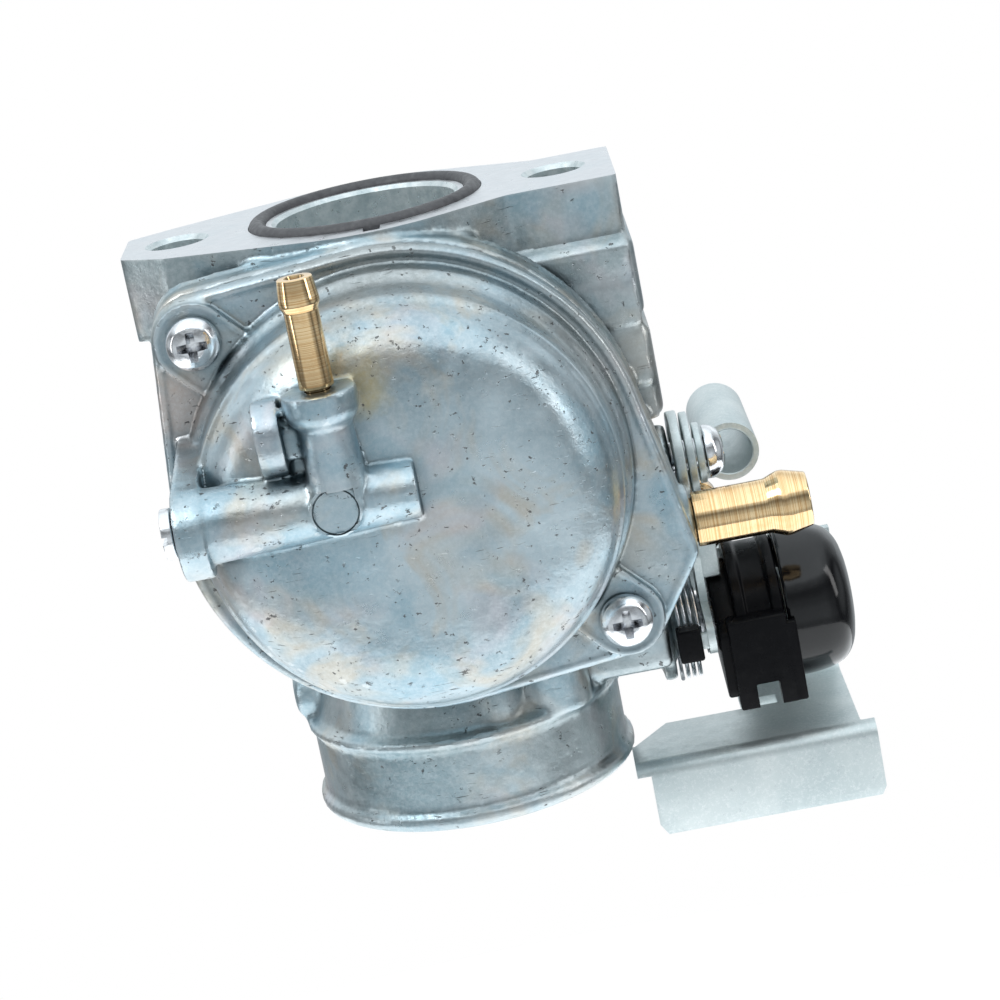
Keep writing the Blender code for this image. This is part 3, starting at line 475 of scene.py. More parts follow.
def cast_alloy(name, dark, light, pits, spots):
    """Passivated die-cast alloy: bluish grey clouds, tints and painted shade at given spots, painted shade in
    creases and hollows, grain, pits and scratches.
    """
    f = Finish(name, light, 0.36, 1.0)
    clouds = f.spread(f.noise(0.055, 3.0, 0.55, warp=0.6), 0.36, 0.62)
    colour = f.mix(clouds, dark, light)
    gold = f.spread(f.noise(0.085, 3.0, 0.6, turn=(0.4, 1.1, 0.2), warp=0.8), 0.50, 0.66, 0.0, 0.7)
    colour = f.mix(gold, colour, (0.56, 0.50, 0.41))
    rose = f.spread(f.noise(0.11, 2.0, 0.5, turn=(1.2, 0.3, 0.8), warp=0.5), 0.55, 0.70, 0.0, 0.35)
    colour = f.mix(rose, colour, (0.70, 0.60, 0.62))
    teal = f.spread(f.noise(0.09, 2.0, 0.5, turn=(0.2, 0.9, 1.7), warp=0.6), 0.53, 0.66, 0.0, 0.6)
    colour = f.mix(teal, colour, (0.30, 0.47, 0.56))
    # Colour spots: tints of the casting, and on the body painted shade below the bowl.
    for centre, radius, strength, spot_colour in spots:
        colour = f.mix(f.spot(centre, radius, strength), colour, spot_colour)
    speckle = f.spread(f.noise(1.6, 5.0, 0.75), 0.42, 0.68, 0.0, 0.28)
    colour = f.mix(speckle, colour, (0.80, 0.84, 0.86))
    colour = f.mix(f.edges(0.51, 0.57, 0.0, 0.35), colour, (0.84, 0.86, 0.86))
    # Painted shade: dark teal in concave creases.
    colour = f.mix(f.edges(0.43, 0.495, 0.75, 0.0), colour, (0.12, 0.15, 0.16))
    # Painted shade: darker teal where neighbouring surfaces close in.
    colour = f.mix(f.hollow_shade(4.0, 0.85), colour, (0.13, 0.17, 0.19))
    allowed = f.spread(f.noise(0.20, 2.0), 0.58 - 0.18 * pits, 0.64 - 0.16 * pits)
    pit = f.spread(f.noise(1.05, 3.0, 0.62, (1.0, 1.0, 1.3), (0.3, 0.2, 0.5)), 0.635, 0.68)
    thin = f.noise(0.9, 2.0, 0.5, (0.35, 1.0, 5.0), (0.1, 0.55, 0.0), 0.4)
    few = f.spread(f.noise(0.16, 2.0, turn=(0.0, 2.0, 0.0)), 0.53, 0.60)
    scratch = f.maths("MULTIPLY", f.spread(thin, 0.68, 0.73), few)
    marks = f.maths("MAXIMUM", f.maths("MULTIPLY", pit, allowed), scratch)
    colour = f.mix(f.maths("MULTIPLY", marks, 0.85), colour, (0.12, 0.12, 0.12))
    rough = f.spread(f.noise(0.3, 5.0, 0.7), 0.3, 0.7, 0.25, 0.44)
    wavy = f.bump(f.noise(0.16, 2.0, 0.4), 0.34)
    grain = f.bump(f.noise(1.5, 4.0, 0.65), 0.045, wavy)
    return f.done(colour, rough, f.bump(marks, -0.14, grain))


def machined_alloy():
    """Bright turned or milled faces of the casting with fine tool marks."""
    f = Finish("machined_alloy", (0.76, 0.77, 0.79), 0.3, 1.0)
    lines = f.noise(0.5, 3.0, 0.6, (1.0, 14.0, 1.0), (0, 0, 0.35))
    colour = f.mix(f.spread(lines, 0.35, 0.65), (0.66, 0.67, 0.69), (0.80, 0.81, 0.83))
    stain = f.spread(f.noise(0.12, 3.0, 0.6), 0.5, 0.7, 0.0, 0.5)
    colour = f.mix(stain, colour, (0.66, 0.71, 0.74))
    rough = f.spread(f.noise(0.5, 3.0), 0.3, 0.7, 0.26, 0.42)
    return f.done(colour, rough, f.bump(lines, 0.02))


def brass(name, axis):
    """Turned brass: rings of tool marks along its axis and a little tarnish."""
    f = Finish(name, (0.93, 0.60, 0.27), 0.15, 1.0)
    stretch = tuple(9.0 if abs(a) > 0.5 else 0.02 for a in axis)
    rings = f.noise(1.0, 2.0, 0.5, stretch)
    colour = f.mix(f.spread(rings, 0.36, 0.6), (0.74, 0.46, 0.21), (1.0, 0.76, 0.45))
    tarnish = f.spread(f.noise(0.35, 4.0, 0.65), 0.50, 0.72, 0.0, 0.45)
    colour = f.mix(tarnish, colour, (0.60, 0.31, 0.10))
    # Painted shade: dark brown in the hollows.
    colour = f.mix(f.hollow_shade(2.0, 0.7), colour, (0.25, 0.13, 0.05))
    rough = f.spread(f.noise(1.2, 3.0), 0.3, 0.7, 0.06, 0.15)
    return f.done(colour, rough, f.bump(rings, 0.003))


def bright_steel():
    """Bright plated screw steel with faint stains, fine bumps and darker concave creases."""
    f = Finish("bright_screw_steel", (0.82, 0.83, 0.85), 0.14, 1.0)
    stain = f.spread(f.noise(0.7, 4.0, 0.6), 0.45, 0.7, 0.0, 0.6)
    colour = f.mix(stain, (0.86, 0.87, 0.89), (0.60, 0.62, 0.66))
    # Darker in concave creases and the cross recess.
    colour = f.mix(f.edges(0.40, 0.49, 0.8, 0.0), colour, (0.12, 0.12, 0.13))
    rough = f.spread(f.noise(2.0, 4.0), 0.3, 0.7, 0.09, 0.24)
    return f.done(colour, rough, f.bump(f.noise(2.5, 3.0), 0.015))


def zinc_sheet():
    """Zinc-plated sheet: pale blue, faintly clouded, speckled with tiny bright spangles."""
    f = Finish("zinc_plated_sheet", (0.80, 0.86, 0.89), 0.3, 0.8)
    clouds = f.spread(f.noise(0.10, 3.0, 0.5, warp=0.4), 0.35, 0.65)
    colour = f.mix(clouds, (0.56, 0.64, 0.65), (0.70, 0.76, 0.76))
    speck = f.spread(f.noise(2.4, 4.0, 0.8), 0.50, 0.68, 0.0, 0.45)
    colour = f.mix(speck, colour, (0.92, 0.94, 0.95))
    dark = f.spread(f.noise(1.1, 4.0, 0.8, turn=(0.3, 0.6, 0.1)), 0.60, 0.72, 0.0, 0.5)
    colour = f.mix(dark, colour, (0.42, 0.47, 0.50))
    rough = f.spread(f.noise(0.8, 4.0, 0.7), 0.3, 0.7, 0.36, 0.5)
    return f.done(colour, rough, f.bump(f.noise(2.0, 4.0, 0.7), 0.03))


def black_plastic(name, roughness, coat):
    """Black moulded plastic with soft grain and faint mottled dust."""
    f = Finish(name, (0.006, 0.006, 0.007), roughness, 0.0)
    dust = f.spread(f.noise(0.9, 5.0, 0.7), 0.5, 0.8, 0.0, 0.25)
    colour = f.mix(dust, (0.003, 0.003, 0.004), (0.022, 0.021, 0.022))
    rough = f.spread(f.noise(0.5, 4.0, 0.6), 0.3, 0.7, roughness * 0.75, roughness * 1.35)
    wave = f.bump(f.noise(0.22, 2.0), 0.10)
    grain = f.bump(f.noise(3.0, 3.0), 0.008, wave)
    return f.done(colour, rough, grain, Coat_Weight=coat, Coat_Roughness=0.08,
                  Specular_IOR_Level=0.12 + 0.6 * coat)


def plain(name, dark, light, low, high, grain, depth, metallic=0.0):
    """A simple mottled finish for rubber, fibre, nylon and springs."""
    f = Finish(name, light, high, metallic)
    colour = f.mix(f.spread(f.noise(grain, 5.0, 0.7), 0.3, 0.7), dark, light)
    rough = f.spread(f.noise(grain * 1.7, 3.0), 0.3, 0.7, low, high)
    return f.done(colour, rough, f.bump(f.noise(grain * 2.5, 4.0), depth))


# The dark teal spots just below the bowl are painted shade under its overhang; the gold and pale ones are
# tints of the casting.
BODY_TINT_AND_SHADE_SPOTS = (
    ((-27.0, -8.0, -22.0), 13.0, 0.75, (0.42, 0.38, 0.32)),
    ((-28.0, -8.0, -5.0), 6.0, 0.55, (0.34, 0.37, 0.38)),
    ((2.0, -18.5, -58.0), 10.0, 0.6, (0.26, 0.33, 0.36)),
    ((-8.0, -19.0, -70.0), 12.0, 0.75, (0.27, 0.39, 0.44)),
    ((12.0, -16.0, -70.0), 8.0, 0.5, (0.40, 0.48, 0.50)),
    ((-4.0, -18.0, -62.0), 7.0, 0.6, (0.36, 0.44, 0.46)),
    ((18.0, -12.0, -12.0), 8.0, 0.6, (0.36, 0.48, 0.53)),
    ((29.0, -12.0, -22.0), 5.0, 0.5, (0.68, 0.66, 0.60)),
    ((30.0, -16.0, -30.0), 8.0, 0.5, (0.50, 0.46, 0.40)),
)
BOWL_SPOTS = (
    ((-2.5, -39.0, -13.5), 4.5, 0.85, (0.66, 0.54, 0.28)),
    ((-17.0, -24.0, -12.0), 8.0, 0.6, (0.34, 0.38, 0.38)),
    ((0.0, -22.5, -2.5), 16.0, 0.7, (0.36, 0.36, 0.34)),
    ((24.0, -22.5, -18.0), 12.0, 0.5, (0.48, 0.46, 0.42)),
    ((-16.0, -30.0, -44.0), 9.0, 0.5, (0.42, 0.52, 0.56)),
    ((-25.0, -24.0, -15.5), 6.0, 0.8, (0.62, 0.52, 0.47)),
    ((-11.0, -37.0, -7.0), 6.0, 0.5, (0.55, 0.53, 0.46)),
    ((-25.0, -41.0, -30.0), 5.0, 0.7, (0.60, 0.59, 0.56)),
)
CAST_BODY = cast_alloy("cast_alloy_body", (0.32, 0.39, 0.41), (0.57, 0.64, 0.66), 0.2, BODY_TINT_AND_SHADE_SPOTS)
CAST_BOWL = cast_alloy("cast_alloy_bowl", (0.31, 0.41, 0.46), (0.56, 0.665, 0.715), 0.8, BOWL_SPOTS)
MACHINED = machined_alloy()
BRASS_X = brass("turned_brass_x", X_AXIS)
BRASS_Y = brass("turned_brass_y", Y_AXIS)
BRASS_Z = brass("turned_brass_z", Z_AXIS)
STEEL = bright_steel()
ZINC = zinc_sheet()
BLACK = black_plastic("drum_plastic", 0.30, 0.0)
GLOSS = black_plastic("cap_plastic", 0.12, 0.3)
RUBBER = plain("ring_rubber", (0.045, 0.045, 0.05), (0.10, 0.10, 0.105), 0.38, 0.6, 1.0, 0.03)
FIBRE = plain("gasket_fibre", (0.16, 0.16, 0.15), (0.28, 0.27, 0.25), 0.7, 0.95, 2.0, 0.05)
NYLON = plain("float_nylon", (0.03, 0.03, 0.033), (0.07, 0.07, 0.075), 0.35, 0.55, 1.0, 0.02)
SPRING = plain("spring_steel", (0.52, 0.54, 0.57), (0.78, 0.79, 0.81), 0.14, 0.3, 1.5, 0.01, 1.0)
DRILLED = plain("drilled_alloy", (0.44, 0.52, 0.54), (0.82, 0.86, 0.86), 0.25, 0.45, 0.5, 0.04, 0.7)
GROUND = plain("ground_steel", (0.55, 0.57, 0.6), (0.72, 0.74, 0.77), 0.2, 0.36, 0.8, 0.01, 1.0)


# ---------------------------------------------------------------- casting

def rim_outline(inset=0.0):
    """The outline shared by the casting's lower flange, the gasket and the bowl's flange."""
    return hull([
        (0, BOWL_Z, 29.1 - inset),
        (*SCREW_UPPER, 5.2 - inset),
        (*SCREW_LOWER, 5.2 - inset),
        (29.3, -44.6, 3.4 - inset),
    ])


def casting_solids():
    """The lumps that melt together into the main casting."""
    barrel = rounded([(0, -0.8), (16.6, -0.8), (16.6, -52.0), (18.2, -60.0), (19.4, -64.0), (20.7, -64.6),
                      (20.75, -65.5), (20.05, -66.0), (20.05, -74.2), (20.9, -74.7), (20.9, -75.9),
                      (20.3, SPIGOT_END), (0, SPIGOT_END)], 0.15)
    left = [(-30.1, -5.0, 0.7), (-30.1, 6.6, 0.7), (-24.8, -9.3, 0.6), (-24.8, 9.3, 0.6), (0, 0, FLANGE_R)]
    front = [(-11.5, 1.0), (-11.3, -1.0), (-10.0, -7.0), (-12.3, -7.7), (-13.2, -8.6), (-12.6, -12.9),
             (-12.9, -13.4), (-13.2, -18.2), (-12.8, -18.5), (-13.9, -25.6), (-13.3, -26.0), (-13.8, -30.6)]
    section = front + [(9.3, -30.6), (9.3, 1.0)]
    return [
        revolve("barrel", barrel, (0, 0, 0), Z_AXIS),
        plate("flange_round", hull([(0, 0, FLANGE_R), (BOLT_X, 0, 7.0)]), -7.6, 1.0, "Z"),
        box("flange_right", (12.0, -11.4, -7.2), (31.0, 9.0, 1.0), 0.5),
        plate("flange_left", hull(left), -10.6, 1.0, "Z"),
        plate("side_block", section, 8.0, 31.3, "X", edge=0.4),
        box("side_step", (28.0, -11.0, -17.6), (31.9, 8.8, -8.2), 0.6),
        box("foot_step", (26.0, -12.6, -30.4), (32.0, 8.8, -18.8), 0.8),
        plate("left_wall", hull([(-22.6, 0, 6.8), (-4, 0, 15.7)]), -34.0, -6.0, "Z"),
        box("nib", (-29.4, -5.0, -13.4), (-26.6, 2.4, -10.2), 0.3),
        plate("bowl_flange", rim_outline(), -19.55, -14.6, "Y", edge=0.7),
        revolve("chamber_roof", rounded([(0, -5.0), (19.0, -5.0), (25.2, -15.5), (0, -15.5)], 1.5),
                (0, 0, BOWL_Z), Y_AXIS),
        rod("shaft_boss", (-16.2, 0, SHAFT_Z), (26.6, 0, SHAFT_Z), 5.4),
        rod("shaft_cone", (-21.6, 0, SHAFT_Z), (-15.0, 0, SHAFT_Z), 2.9, 5.6, 0.8),
        rod("spring_seat", (26.2, 0, SHAFT_Z), (27.9, 0, SHAFT_Z), 7.4, None, 0.4),
        rod("spring_pilot", (28.0, 0, SHAFT_Z), (31.9, 0, SHAFT_Z), 4.6),
        box("shaft_arm", (10, -11.0, SHAFT_Z - 2.6), (27.6, -2.0, SHAFT_Z + 5.0), 1.2),
        rod("passage_left", (4.5, -15.5, -65.2), (4.5, -15.5, -52.0), 3.6, None, 0.5),
        rod("passage_right", (12.0, -12.8, -65.2), (12.0, -12.8, -50.0), 4.6, None, 0.5),
        box("passage_web", (5.0, -14.4, -64.6), (11.6, -8.0, -50.0)),
        rod("passage_small", (0.2, -15.5, -63.8), (0.2, -15.5, -54.0), 2.6, None, 0.5),
        rod("inlet_boss", (10.0, INLET_Y, INLET_Z), (32.8, INLET_Y, INLET_Z), 5.0, 4.8, 0.6),
        rod("clip_boss", (10.0, CLIP_Y, CLIP_Z), (31.8, CLIP_Y, CLIP_Z), 5.6, 4.4, 0.5),
        rod("side_boss", (10.0, -1.0, -29.0), (31.6, -1.0, -30.6), 6.0, 3.0, 0.6),
        box("stop_lug", (12.0, 5.0, -53.0), (37.5, 9.4, -47.6), 1.0),
        *[rod("bracket_boss", (BRACKET_X, 1.0, z), (BRACKET_X, 14.2, z), 4.0) for z in BRACKET_SCREWS],
        box("bracket_web", (10.0, 2.0, -60.5), (25.5, 10.5, -46.5), 1.0),
        rod("mixture_boss", (MIXTURE_X, 9.0, BACK_Z), (MIXTURE_X, 19.4, BACK_Z), 4.2, 4.0, 0.5),
        rod("plug_boss", (PLUG_X, 9.0, BACK_Z), (PLUG_X, 18.6, BACK_Z), 5.2, 5.0, 0.5),
        box("top_rail", (-12.0, 8.0, -46.0), (12.0, 17.4, -12.0), 2.2),
        rod("jet_pillar", (0, -19.0, BOWL_Z), (0, -33.0, BOWL_Z), 4.2),
        rod("pilot_pillar", (-5.6, -19.0, BOWL_Z), (-5.6, -29.0, BOWL_Z), 2.6),
        rod("seat_boss", (0, -18.0, -45.5), (0, -22.3, -45.5), 4.7),
        *[box("pin_post", (x - 0.9, -26.2, -51.4), (x + 0.9, -19.0, -48.0), 0.2) for x in (-6.5, 6.5)],
        tube("parting_line", [(0.3, -19.95, -66.6), (0.3, -19.95, -70.0), (0.3, -19.95, -74.2)], 0.3),
        tube("rim_line", [(x, -15.0, z) for x, z in rim_outline(0.1)], 0.55, True),
    ]


def casting_cuts():
    """Everything that is drilled, turned or milled out of the casting."""
    groove = [(14.9, 1.5), (14.9, -2.0), (12.6, -2.0), (12.6, 1.5)]
    return [
        box("mill", (-40, -30, 0.0), (40, 30, 4.0), 0),
        revolve("ring_groove", groove, (0, 0, 0), Z_AXIS),
        box("groove_nick", (0.0, -17.3, -1.1), (2.1, -14.2, 1.0), 0.2),
        box("relief_left", (-30.6, -5.6, -36.0), (-19.4, 5.6, -11.2), 1.0),
        rod("relief_right", (24.0, 0, -37), (24.0, 0, -11.2), 5.4),
        drill("shaft_hole", (-18.9, 0, SHAFT_Z), (33, 0, SHAFT_Z), SHAFT_HOLE_R),
        *[drill("screw_hole", (x, -22, z), (x, -9, z), HOLE_R) for x, z in BOWL_SCREWS],
        drill("inlet_bore", (25.0, INLET_Y, INLET_Z), (34, INLET_Y, INLET_Z), 3.15),
        drill("seat_hole", (0, -23.0, -45.5), (0, INLET_Y, -45.5), 3.3),
        drill("nozzle_hole", (0, -34, BOWL_Z), (0, -5, BOWL_Z), 2.2),
        drill("pilot_hole", (-5.6, -30, BOWL_Z), (-5.6, -20.5, BOWL_Z), 1.6),
        drill("pin_hole", (-10, -24.4, -49.9), (10, -24.4, -49.9), 1.05),
        drill("clip_hole", (24, CLIP_Y, CLIP_Z), (33, CLIP_Y, CLIP_Z), HOLE_R),
        drill("stop_hole", (STOP_X, 3, STOP_Z), (STOP_X, 11, STOP_Z), 1.65),
        *[drill("bracket_hole", (BRACKET_X, 4.0, z), (BRACKET_X, 15.0, z), HOLE_R) for z in BRACKET_SCREWS],
        drill("mixture_hole", (MIXTURE_X, 12.0, BACK_Z), (MIXTURE_X, 20.0, BACK_Z), HOLE_R),
        drill("plug_hole", (PLUG_X, 16.0, BACK_Z), (PLUG_X, 20.0, BACK_Z), 4.0),
    ]


def build_casting():
    """The main casting with its machined faces."""
    body = made_of(fuse("body_casting", casting_solids(), CASTING_VOXEL), CAST_BODY, MACHINED, DRILLED)
    carve(body, casting_cuts(), MACHINED_SLOT)
    bore = [(0, 2.0), (11.9, 2.0), (11.9, 0.0), (11.4, -0.5), (11.4, -6.0), (10.2, -17.0), (9.2, -27.0),
            (9.2, -33.0), (12.6, -47.0), (12.6, -69.5), (15.5, -71.0), (15.8, -76.0), (16.5, -76.6),
            (16.5, -78.0), (0, -78.0)]
    carve(body, [revolve("bore", bore, (0, 0, 0), Z_AXIS)], DRILLED_SLOT)
    drilled = [(0, 1.0), (4.4, 1.0), (4.1, 0.0), (3.5, -0.6), (3.5, -13.0), (0, -13.0)]
    carve(body, [revolve("bolt_hole", drilled, (x, 0, 0), Z_AXIS) for x in (-BOLT_X, BOLT_X)], DRILLED_SLOT)
    finished(body, ["throttle_body"], 32)


# ---------------------------------------------------------------- float bowl

def ear(screw, inner):
    """The pad under a bowl screw and the raised line round it."""
    outline = hull([(*screw, 4.7), inner])
    line = [(x, -24.95, z) for x, z in hull([(*screw, 4.45), (inner[0], inner[1], inner[2] - 0.25)])]
    pad = plate(f"pad_{screw[0]:.0f}", outline, -25.0, -22.0, "Y")
    return [pad, tube(f"pad_line_{screw[0]:.0f}", line, 0.34, True)]


def bowl_solids():
    """The lumps that melt together into the float bowl."""
    dome = [(0, 41.3), (12.5, 41.3), (17.5, 40.8), (21.2, 39.5), (23.6, 37.0), (24.6, 34.4)]
    side = [(24.6, 34.4), (25.3, 33.6), (25.5, 28.6), (25.8, 27.4), (26.7, 26.4), (26.9, 24.6), (27.2, 22.5)]
    wall = rounded(dome, 2.2, 6)[:-1] + rounded(side, 0.6) + [(0, 22.5)]
    cup = [(0, -11.9), (4.4, -11.9), (4.35, -14.4), (4.0, -15.2), (3.0, -16.2), (0, -16.2)]
    return [
        plate("rim", rim_outline(), -23.8, -21.0, "Y", edge=0.5),
        tube("rim_bead", [(x, -23.55, z) for x, z in rim_outline(0.75)], 0.5, True),
        revolve("wall", wall, (0, 0, BOWL_Z), -Y_AXIS, 128),
        *ear(SCREW_UPPER, (-16.0, -14.0, 4.6)),
        *ear(SCREW_LOWER, (16.6, -45.4, 4.6)),
        rod("drain_boss", (-23.8, DRAIN_Y, DRAIN_Z), (1.6, DRAIN_Y, DRAIN_Z), 4.5, 3.4, 0.2),
        plate("drain_gusset", hull([(*COLLAR, 5.45), (-24.0, -20.1, 0.8)]), -26.5, -23.3, "X"),
        rod("drain_collar", (-26.6, *COLLAR), (-23.2, *COLLAR), 5.5, None, 0.2),
        rod("plug_pad", (-7.9, -38.6, DRAIN_Z), (-7.9, -45.5, DRAIN_Z), 3.3, 3.1, 0.3),
        rod("tower", (TOWER_X, TOWER_Y + 0.8, DRAIN_Z), (TOWER_X, TOWER_Y, -15.0), 3.6, 3.1, 0.3),
        revolve("tower_collar", cup, (TOWER_X, TOWER_Y, 0), Z_AXIS),
        plate("web", [(-5.2, -19.6), (-4.0, -22.4), (-2.2, -23.4), (-5.2, -24.5)], -43.6, -40.0, "Y"),
        rod("lug", (-15.4, -41.0, -17.0), (-12.3, -41.0, -17.0), 4.45, None, 0.2),
        box("lug_arm", (-13.0, -43.4, -19.6), (-8.0, -39.6, -15.6), 0.6),
    ]


def build_bowl():
    """The float bowl, hollow inside, with the drain boss and the machined disc on it."""
    bowl = made_of(fuse("bowl_casting", bowl_solids(), BOWL_VOXEL), CAST_BOWL, MACHINED)
    cavity = rounded([(0, 38.7), (20.5, 38.5), (22.6, 37.2), (23.2, 35.0), (23.2, 19.0), (0, 19.0)], 1.0)
    ring = [(2.75, 0.6), (2.75, -0.35), (2.55, -0.35), (2.55, 0.6)]
    carve(bowl, [
        revolve("cavity", cavity, (0, 0, BOWL_Z), -Y_AXIS),
        box("joint_face", (-40, -20.95, -70), (40, -10, 10), 0),
        *[drill("screw_hole", (x, -20, z), (x, -27, z), HOLE_R) for x, z in BOWL_SCREWS],
        drill("drain_hole", (-28.0, DRAIN_Y, DRAIN_Z), (-5.6, DRAIN_Y, DRAIN_Z), 1.9),
        drill("nozzle_hole", (TOWER_X, TOWER_Y - 0.2, -11.0), (TOWER_X, TOWER_Y - 0.2, -25.4), 1.55),
    ], MACHINED_SLOT)
    carve(bowl, [
        box("disc_face", (-10.4, -47.0, -28.4), (-5.4, -45.2, -23.4), 0),
        revolve("disc_line", ring, (-7.9, -45.2, DRAIN_Z), -Y_AXIS, 64),
    ])
    finished(bowl, ["float_bowl", "drain_plug"], 32)


def build_seals():
    """The gasket under the bowl and the ring in the flange."""
    holes = [circle((0, BOWL_Z), 23.6, 96)]
    holes += [circle(centre, 2.4, 32) for centre in BOWL_SCREWS]
    gasket = plate("bowl_seal", rim_outline(0.35), -20.7, -19.9, "Y", holes)
    finished(made_of(gasket, FIBRE), ["bowl_gasket"])
    ring = revolve("flange_ring", circle((13.75, -0.25), 1.1, 24), (0, 0, 0), Z_AXIS, 128)
    finished(made_of(ring, RUBBER), ["flange_o_ring"])


# ---------------------------------------------------------------- screws

def cross_recess(name, seat, axis, reach, depth):
    """A tapered four-winged recess below a point on a screw's head."""
    shape = bmesh.new()
    turn = turn_to(axis)
    rings = []
    for scale, height in ((1.25, 0.6), (1.0, 0.0), (0.42, -depth)):
        ring = []
        for k in range(4):
            for angle, radius in ((-14, 1.0), (14, 1.0), (31, 0.52), (45, 0.40), (59, 0.52)):
                a = radians(90 * k + angle)
                local = Vector((reach * scale * radius * cos(a), reach * scale * radius * sin(a), height))
                ring.append(shape.verts.new(turn @ local + Vector(seat)))
        rings.append(ring)
    count = len(rings[0])
    for a, b in zip(rings, rings[1:]):
        for k in range(count):
            n = (k + 1) % count
            shape.faces.new((a[k], a[n], b[n], b[k]))
    shape.faces.new(rings[0])
    shape.faces.new(rings[-1])
    return make(name, shape)


def pan_screw(node, seat, axis, head_r, shank_r, length, body="carburetor_body"):
    """A domed screw with a cross recess."""
    height = head_r * 0.72
    dome = [(0, height), (head_r * 0.42, height * 0.97), (head_r * 0.74, height * 0.80),
            (head_r * 0.93, height * 0.50), (head_r, height * 0.22), (head_r, 0.0)]
    profile = rounded([*dome, (shank_r, 0), (shank_r, -length), (0, -length)], 0.25, 3)
    screw = made_of(revolve(f"{node}_look", profile, seat, axis, 64), STEEL)
    top = Vector(seat) + Vector(axis) * height * 0.98
    carve(screw, [cross_recess("recess", top, axis, head_r * 0.60, height * 0.66)])
    finished(screw, [node], 30, body)


def slotted_screw(node, head_end, axis, profile, slot, body, material):
    """A turned screw with a screwdriver slot in its head. Heights are measured back from the head's end."""
    screw = made_of(revolve(f"{node}_look", rounded(profile, 0.25, 3), head_end, axis, 64), material)
    carve(screw, [slot])
    finished(screw, [node], 30, body)


def build_screws():
    """Every screw outside, with the adjusters' springs."""
    for node, (x, z) in zip(("bowl_screw_upper", "bowl_screw_lower"), BOWL_SCREWS):
        pan_screw(node, (x, -25.35, z), -Y_AXIS, 3.35, SHANK_R, 14.0)
    for node, z in zip(("bracket_screw_upper", "bracket_screw_lower"), BRACKET_SCREWS):
        pan_screw(node, (BRACKET_X, 17.0, z), Y_AXIS, 3.1, SHANK_R, 9.5)
    pan_screw("clip_screw", (36.3, CLIP_Y, CLIP_Z), X_AXIS, 3.4, SHANK_R, 10.5)
    for node, x in zip(("plate_screw_left", "plate_screw_right"), PLATE_SCREWS):
        pan_screw(node, (x, 0, SHAFT_Z + 3.3), Z_AXIS, 1.8, 1.0, 6.6, "throttle")
    slotted_screw(
        "drain_screw", (-28.2, DRAIN_Y, DRAIN_Z), -X_AXIS,
        [(0, 0), (3.0, 0), (3.0, -1.3), (1.55, -1.3), (1.55, -10.7), (0.3, -12.8), (0, -12.8)],
        box("drain_slot", (-29.0, DRAIN_Y - 4, DRAIN_Z - 0.45), (-27.5, DRAIN_Y + 4, DRAIN_Z + 0.45), 0),
        "drain_valve", STEEL)
    slotted_screw(
        "idle_stop_screw", (STOP_X, 18.8, STOP_Z), Y_AXIS,
        [(0, 0), (2.8, 0), (2.8, -3.0), (1.3, -3.0), (1.3, -20.8), (0.5, -22.0), (0, -22.0)],
        box("stop_slot", (STOP_X - 4, 17.8, STOP_Z - 0.4), (STOP_X + 4, 20.0, STOP_Z + 0.4), 0),
        "idle_stop", BRASS_Y)
    slotted_screw(
        "mixture_screw", (MIXTURE_X, 26.6, BACK_Z), Y_AXIS,
        [(0, 0), (3.0, 0), (3.0, -2.6), (1.9, -2.6), (1.9, -12.8), (0.76, -14.0), (0, -14.0)],
        box("mixture_slot", (MIXTURE_X - 4, 25.6, BACK_Z - 0.4), (MIXTURE_X + 4, 28.0, BACK_Z + 0.4), 0),
        "idle_mixture", BRASS_Y)
    coils = (
        ("idle_stop_spring", STOP_X, 10.1, STOP_Z, 5.0, 2.0, 3.5),
        ("mixture_spring", MIXTURE_X, 20.1, BACK_Z, 3.2, 2.45, 2.5),
    )
    for node, x, y, z, length, radius, turns in coils:
        count = int(turns * 32)
        points = []
        for i in range(count + 1):
            a = 2 * pi * i / 32
            points.append((x + radius * cos(a), y + length * i / count, z - radius * sin(a)))
        finished(made_of(tube(f"{node}_look", points, 0.28), SPRING), [node])
    plug = rounded([(0, 18.9), (2.2, 18.75), (3.7, 18.3), (3.7, 16.4), (0, 16.4)], 0.5)
    plug = made_of(revolve("body_plug_look", plug, (PLUG_X, 0, BACK_Z), Y_AXIS), BRASS_Y)
    finished(plug, ["body_plug"])


# ---------------------------------------------------------------- hose ends

def build_nozzles():
    """The two brass hose nozzles."""
    drain = [(1.2, 1.3), (2.05, 1.3), (2.36, -1.15), (2.36, -1.75), (2.02, -2.5), (2.02, -2.7), (2.05, -11.5),
             (1.4, -11.6), (1.4, -17.0), (0.8, -17.0), (0.8, 0.4), (1.2, 1.3)]
    drain = rounded(drain, 0.16, 3)[:-1]
    nozzle = revolve("drain_nozzle_look", drain, (TOWER_X, TOWER_Y - 0.2, 0), Z_AXIS)
    finished(made_of(nozzle, BRASS_Z), ["drain_nozzle"], 28)
    fuel = [(2.2, 47.6), (3.35, 47.6), (4.1, 44.8), (4.1, 44.1), (3.42, 42.3), (3.42, 42.0), (3.45, 33.1),
            (2.8, 33.1), (2.8, 26.2), (1.5, 26.2), (1.5, 36.0), (2.1, 37.0), (2.2, 47.6)]
    inlet = revolve("fuel_inlet_look", rounded(fuel, 0.2, 3)[:-1], (0, INLET_Y, INLET_Z), X_AXIS)
    finished(made_of(inlet, BRASS_X), ["fuel_inlet"], 28)


# ---------------------------------------------------------------- throttle

SHAFT_HOLE = circle((0, SHAFT_Z), SHAFT_HOLE_R, 48)


